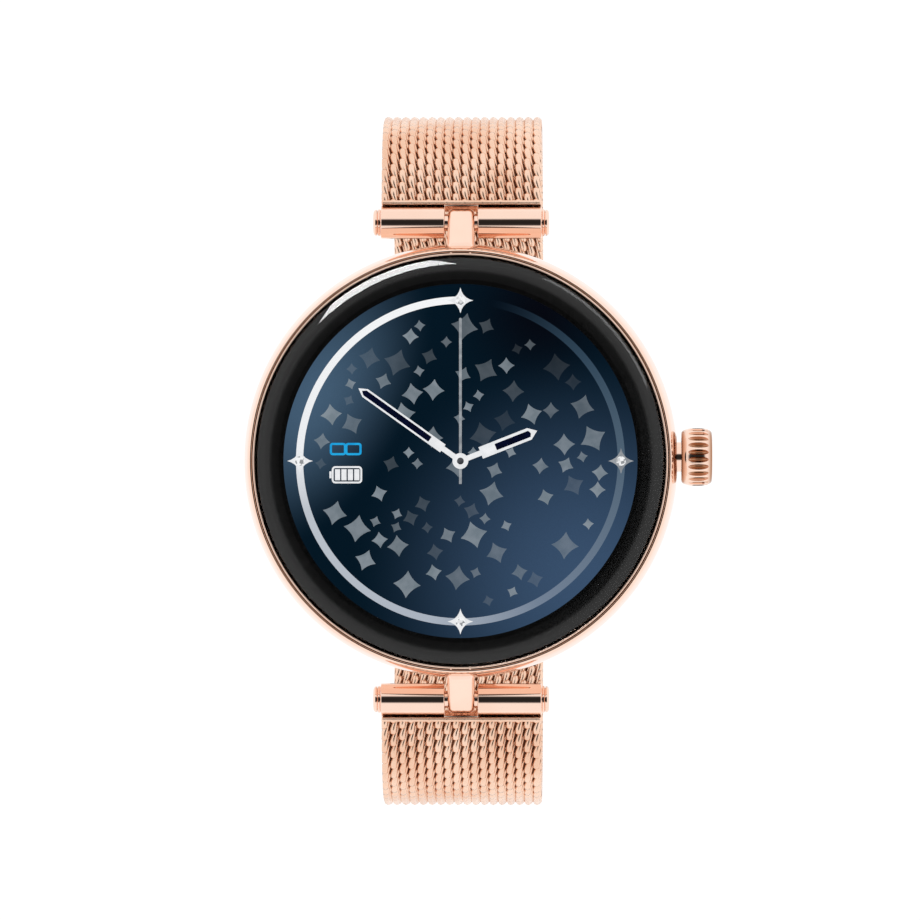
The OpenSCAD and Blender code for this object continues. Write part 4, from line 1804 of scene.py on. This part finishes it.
@dataclass
class Clasp:
    """The magnetic clasp: fixed block, sliding block and lock lever."""

    half_width: float = 8.0
    near: float = 0.15
    far: float = 8.15
    below: float = 2.4
    above: float = 1.55
    lever_y: float = -6.05

    def body(self, name: str, side: int) -> Piece:
        """One block of the clasp, its edges rounded.

        Args:
            name: Name of the new piece.
            side: 1 towards 12 o'clock, -1 towards 6.

        Returns:
            The new piece.
        """
        y0, y1 = sorted((side * self.near, side * self.far))
        low = (-self.half_width, y0, CLASP_Z - self.below)
        high = (self.half_width, y1, CLASP_Z + self.above)
        return Bench.eased(Bench.block(name, low, high), 0.45, 4)

    def channel(self, y0: float, y1: float, extra: float) -> Piece:
        """Cutter for the channel that the mesh runs in.

        Args:
            y0: Where it starts.
            y1: Where it ends.
            extra: Clearance around the mesh.

        Returns:
            The new piece.
        """
        half_w, half_t = STRAP_WIDTH / 2 + extra, STRAP_THICK / 2 + extra
        low, high = (-half_w, y0, CLASP_Z - half_t), (half_w, y1, CLASP_Z + half_t)
        return Bench.block("channel", low, high)

    def keeper(self) -> None:
        """The block fixed to the 12 o'clock half, with three thumb grooves."""
        block = self.body("clasp_keeper", 1)
        Bench.cut(block, self.channel(self.near + 1, 10, 0.03))
        for number in range(3):
            y = 3.2 + 1.1 * number
            low = (-5.2, y, CLASP_Z - self.below - 0.3)
            high = (5.2, y + 0.4, CLASP_Z - self.below + 0.22)
            Bench.cut(block, Bench.eased(Bench.block("groove", low, high), 0.12, 2))
        dress(Bench.smooth(block, 30), Finish.POLISHED)
        mount(block, "upper_strap_6", Slot.GOLD, "keeper_block")

    def slider(self) -> None:
        """The block that slides on the 6 o'clock half, open below for the lever."""
        block = self.body("clasp_slider", -1)
        Bench.cut(block, self.channel(-10, 1, 0.05))
        bay_low = (-7.05, -(self.far - 1.1), CLASP_Z - 4)
        bay = Bench.block("bay", bay_low, (7.05, -(self.near + 1.6), CLASP_Z))
        Bench.cut(block, bay)
        dress(Bench.smooth(block, 30), Finish.POLISHED)
        mount(block, "slider", Slot.GOLD, "slider_body")

    def lever(self) -> None:
        """The lock lever: a knuckle on its pin and a plate with a nail slot."""
        x, low_z, pin_z = 6.9, CLASP_Z - self.below, CLASP_Z - 1.6
        ends = [(0.45, -x), (0.64, -x), (0.7, -x + 0.06), (0.7, x - 0.06), (0.64, x), (0.45, x)]
        knuckle = Bench.turned("knuckle", ends, Axis.X, (0, self.lever_y, pin_z), 48)
        near = -(self.near + 1.8)
        low, high = (-x, self.lever_y + 0.45, low_z), (x, near, low_z + 0.98)
        plate = Bench.block("clasp_lever", low, high)
        Bench.eased(plate, 0.12, 3)
        slot = [(0.0, -3.0), (0.4, -3.0), (0.45, -2.9), (0.45, 2.9), (0.4, 3.0), (0.0, 3.0)]
        Bench.cut(plate, Bench.turned("nail", slot, Axis.X, (0, near, low_z), 32))
        lever = Bench.joined("clasp_lever", [plate, knuckle])
        dress(Bench.smooth(lever, 30), Finish.POLISHED)
        mount(lever, "lever", Slot.GOLD, "lock_lever")

    def build(self) -> None:
        """Builds the clasp."""
        self.keeper()
        self.slider()
        self.lever()


# ------------------------------------------------------------ carried-over CAD


@dataclass
class HiddenParts:
    """The CAD nodes that keep their shape and take a finish of their own."""

    by_slot: tuple[tuple[str, Finish], ...] = (
        ("polished_rose_gold", Finish.POLISHED), ("mesh_rose_gold", Finish.WIRE),
        ("clear_glass", Finish.GLASS), ("screen", Finish.GROUND), ("black_print", Finish.INK),
        ("black_rubber", Finish.RUBBER), ("black_plastic", Finish.BLACK),
        ("circuit_green", Finish.BOARD), ("bare_steel", Finish.STEEL),
        ("battery_foil", Finish.FOIL), ("flex_film", Finish.FILM),
        ("gold_contact", Finish.CONTACT), ("led_lens", Finish.LENS), ("magnet", Finish.MAGNET),
        ("dark_window", Finish.WINDOW), ("switch_button", Finish.BUTTON),
    )

    def build(self) -> None:
        """Gives every CAD node that still shows its finish."""
        finishes = dict(self.by_slot)
        for part in frame["record"]["subparts"]:
            node = frame["nodes"][part["node"]]
            if not node.hide_render:
                plated = part["node"].endswith("bar_pin")
                dress(node, Finish.POLISHED if plated else finishes[part["material_slot"]])
                log.info("%s keeps its CAD shape", node.name)


# ----------------------------------------------------------------- the studio


@dataclass
class Studio:
    """White surroundings with a dark patch overhead, two lamps and a camera."""

    floor_z: float = -42.6
    camera_at: Point3 = (9.5, 0.0, 565.0)
    aim: Point3 = (0.0, 0.0, 5.4)
    span: float = 80.49
    image_width: int = 920
    sensor: float = 36.0
    surround: float = 1.05
    sky: tuple[tuple[float, float], ...] = (
        (0.0, 1.0), (0.85, 1.0), (0.905, 0.8), (0.94, 0.07), (0.97, 0.03), (1.0, 0.02)
    )
    lamp_distance: float = 0.5

    def world(self) -> None:
        """Lights the sides evenly and leaves the patch overhead dark."""
        world = bpy.data.worlds.new("studio")
        bpy.context.scene.world = world
        world.use_nodes = True
        nodes, links = world.node_tree.nodes, world.node_tree.links
        nodes.clear()
        place = nodes.new("ShaderNodeTexCoord")
        split = nodes.new("ShaderNodeSeparateXYZ")
        ramp = nodes.new("ShaderNodeValToRGB")
        set_stops(ramp, [(height, (level, level, level), 1.0) for height, level in self.sky])
        back = nodes.new("ShaderNodeBackground")
        back.inputs["Strength"].default_value = self.surround
        output = nodes.new("ShaderNodeOutputWorld")
        links.new(place.outputs["Generated"], split.inputs[0])
        links.new(split.outputs[2], ramp.inputs[0])
        links.new(ramp.outputs["Color"], back.inputs["Color"])
        links.new(back.outputs[0], output.inputs["Surface"])

    def floor(self) -> None:
        """A pale floor under the clasp, clear when seen from below."""
        Bench.clear()
        bpy.ops.mesh.primitive_plane_add(size=6, location=(0, 0, self.floor_z * MM))
        floor = bpy.context.object
        floor.name = "floor"
        graph = Graph("pale_floor")
        lit = graph.surface(
            base_color=graph.mixed(graph.noise(6), (0.09, 0.09, 0.09), (0.1, 0.1, 0.1)),
            roughness=0.9,
            emission_color=(1.0, 1.0, 1.0),
            emission_strength=0.96,
        )
        below = graph.add("ShaderNodeNewGeometry").outputs["Backfacing"]
        floor.data.materials.append(graph.done(graph.layered(below, lit, graph.open())))

    def lamp(self, name: str, azimuth: float, lean: float, size: Point2, radiance: float) -> None:
        """A soft lamp that lights the glass only.

        Args:
            name: Its name.
            azimuth: Its direction, anticlockwise from +X, in degrees.
            lean: Its angle from straight up, in degrees.
            size: Its width and height in metres.
            radiance: How bright its surface is.
        """
        data = bpy.data.lights.new(name, "AREA")
        data.shape = "RECTANGLE"
        data.size, data.size_y = size
        data.energy = radiance * math.pi * size[0] * size[1]
        lamp = bpy.data.objects.new(name, data)
        bpy.context.scene.collection.objects.link(lamp)
        a, b = math.radians(azimuth), math.radians(lean)
        way = Vector((math.cos(a) * math.sin(b), math.sin(a) * math.sin(b), math.cos(b)))
        lamp.location = way * self.lamp_distance
        lamp.rotation_euler = way.to_track_quat("Z", "Y").to_euler()
        lamp.light_linking.receiver_collection = self.glass_only()

    @staticmethod
    def glass_only() -> bpy.types.Collection:
        """The collection that holds the glass, the lamps' only receiver."""
        name = "lit_by_lamps"
        if name not in bpy.data.collections:
            bpy.data.collections.new(name).objects.link(bpy.data.objects["domed_glass"])
        return bpy.data.collections[name]

    def camera(self) -> None:
        """Looks straight down on the dial, a touch from the crown's side."""
        data = bpy.data.cameras.new("camera")
        camera = bpy.data.objects.new("camera", data)
        bpy.context.scene.collection.objects.link(camera)
        spot, aim = Vector(self.camera_at) * MM, Vector(self.aim) * MM
        away = (spot - aim).length
        data.sensor_width = self.sensor
        data.lens = self.sensor * away / (self.span * MM)
        data.clip_start, data.clip_end = 0.05, 20
        data.shift_x, data.shift_y = -1 / self.image_width, 1 / self.image_width
        camera.location = spot
        back = (spot - aim).normalized()
        right = Vector((0, 1, 0)).cross(back).normalized()
        camera.rotation_euler = Matrix((right, back.cross(right), back)).transposed().to_euler()
        bpy.context.scene.camera = camera

    def build(self) -> None:
        """Sets the studio up."""
        self.world()
        self.floor()
        self.lamp("key_lamp", 114.6, 66, (0.29, 0.5), 24)
        self.lamp("fill_lamp", 44, 66, (0.36, 0.16), 3)
        self.camera()
        scene = bpy.context.scene
        scene.view_settings.view_transform = "Standard"
        scene.view_settings.look = "None"


def main() -> None:
    """Builds the watch, then the studio."""
    logging.basicConfig(level=logging.INFO, format="%(name)s: %(message)s")
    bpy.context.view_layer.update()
    builders: tuple[Callable[[], None], ...] = (
        Case().build,
        Dial().build,
        Crown().build,
        StrapEnds().build,
        Weave(Half.UPPER, 1.15).build,
        Weave(Half.LOWER, 0.35).build,
        Clasp().build,
        HiddenParts().build,
        Studio().build,
    )
    for build in builders:
        build()
    Bench.clear()


if __name__ == "__main__":
    main()
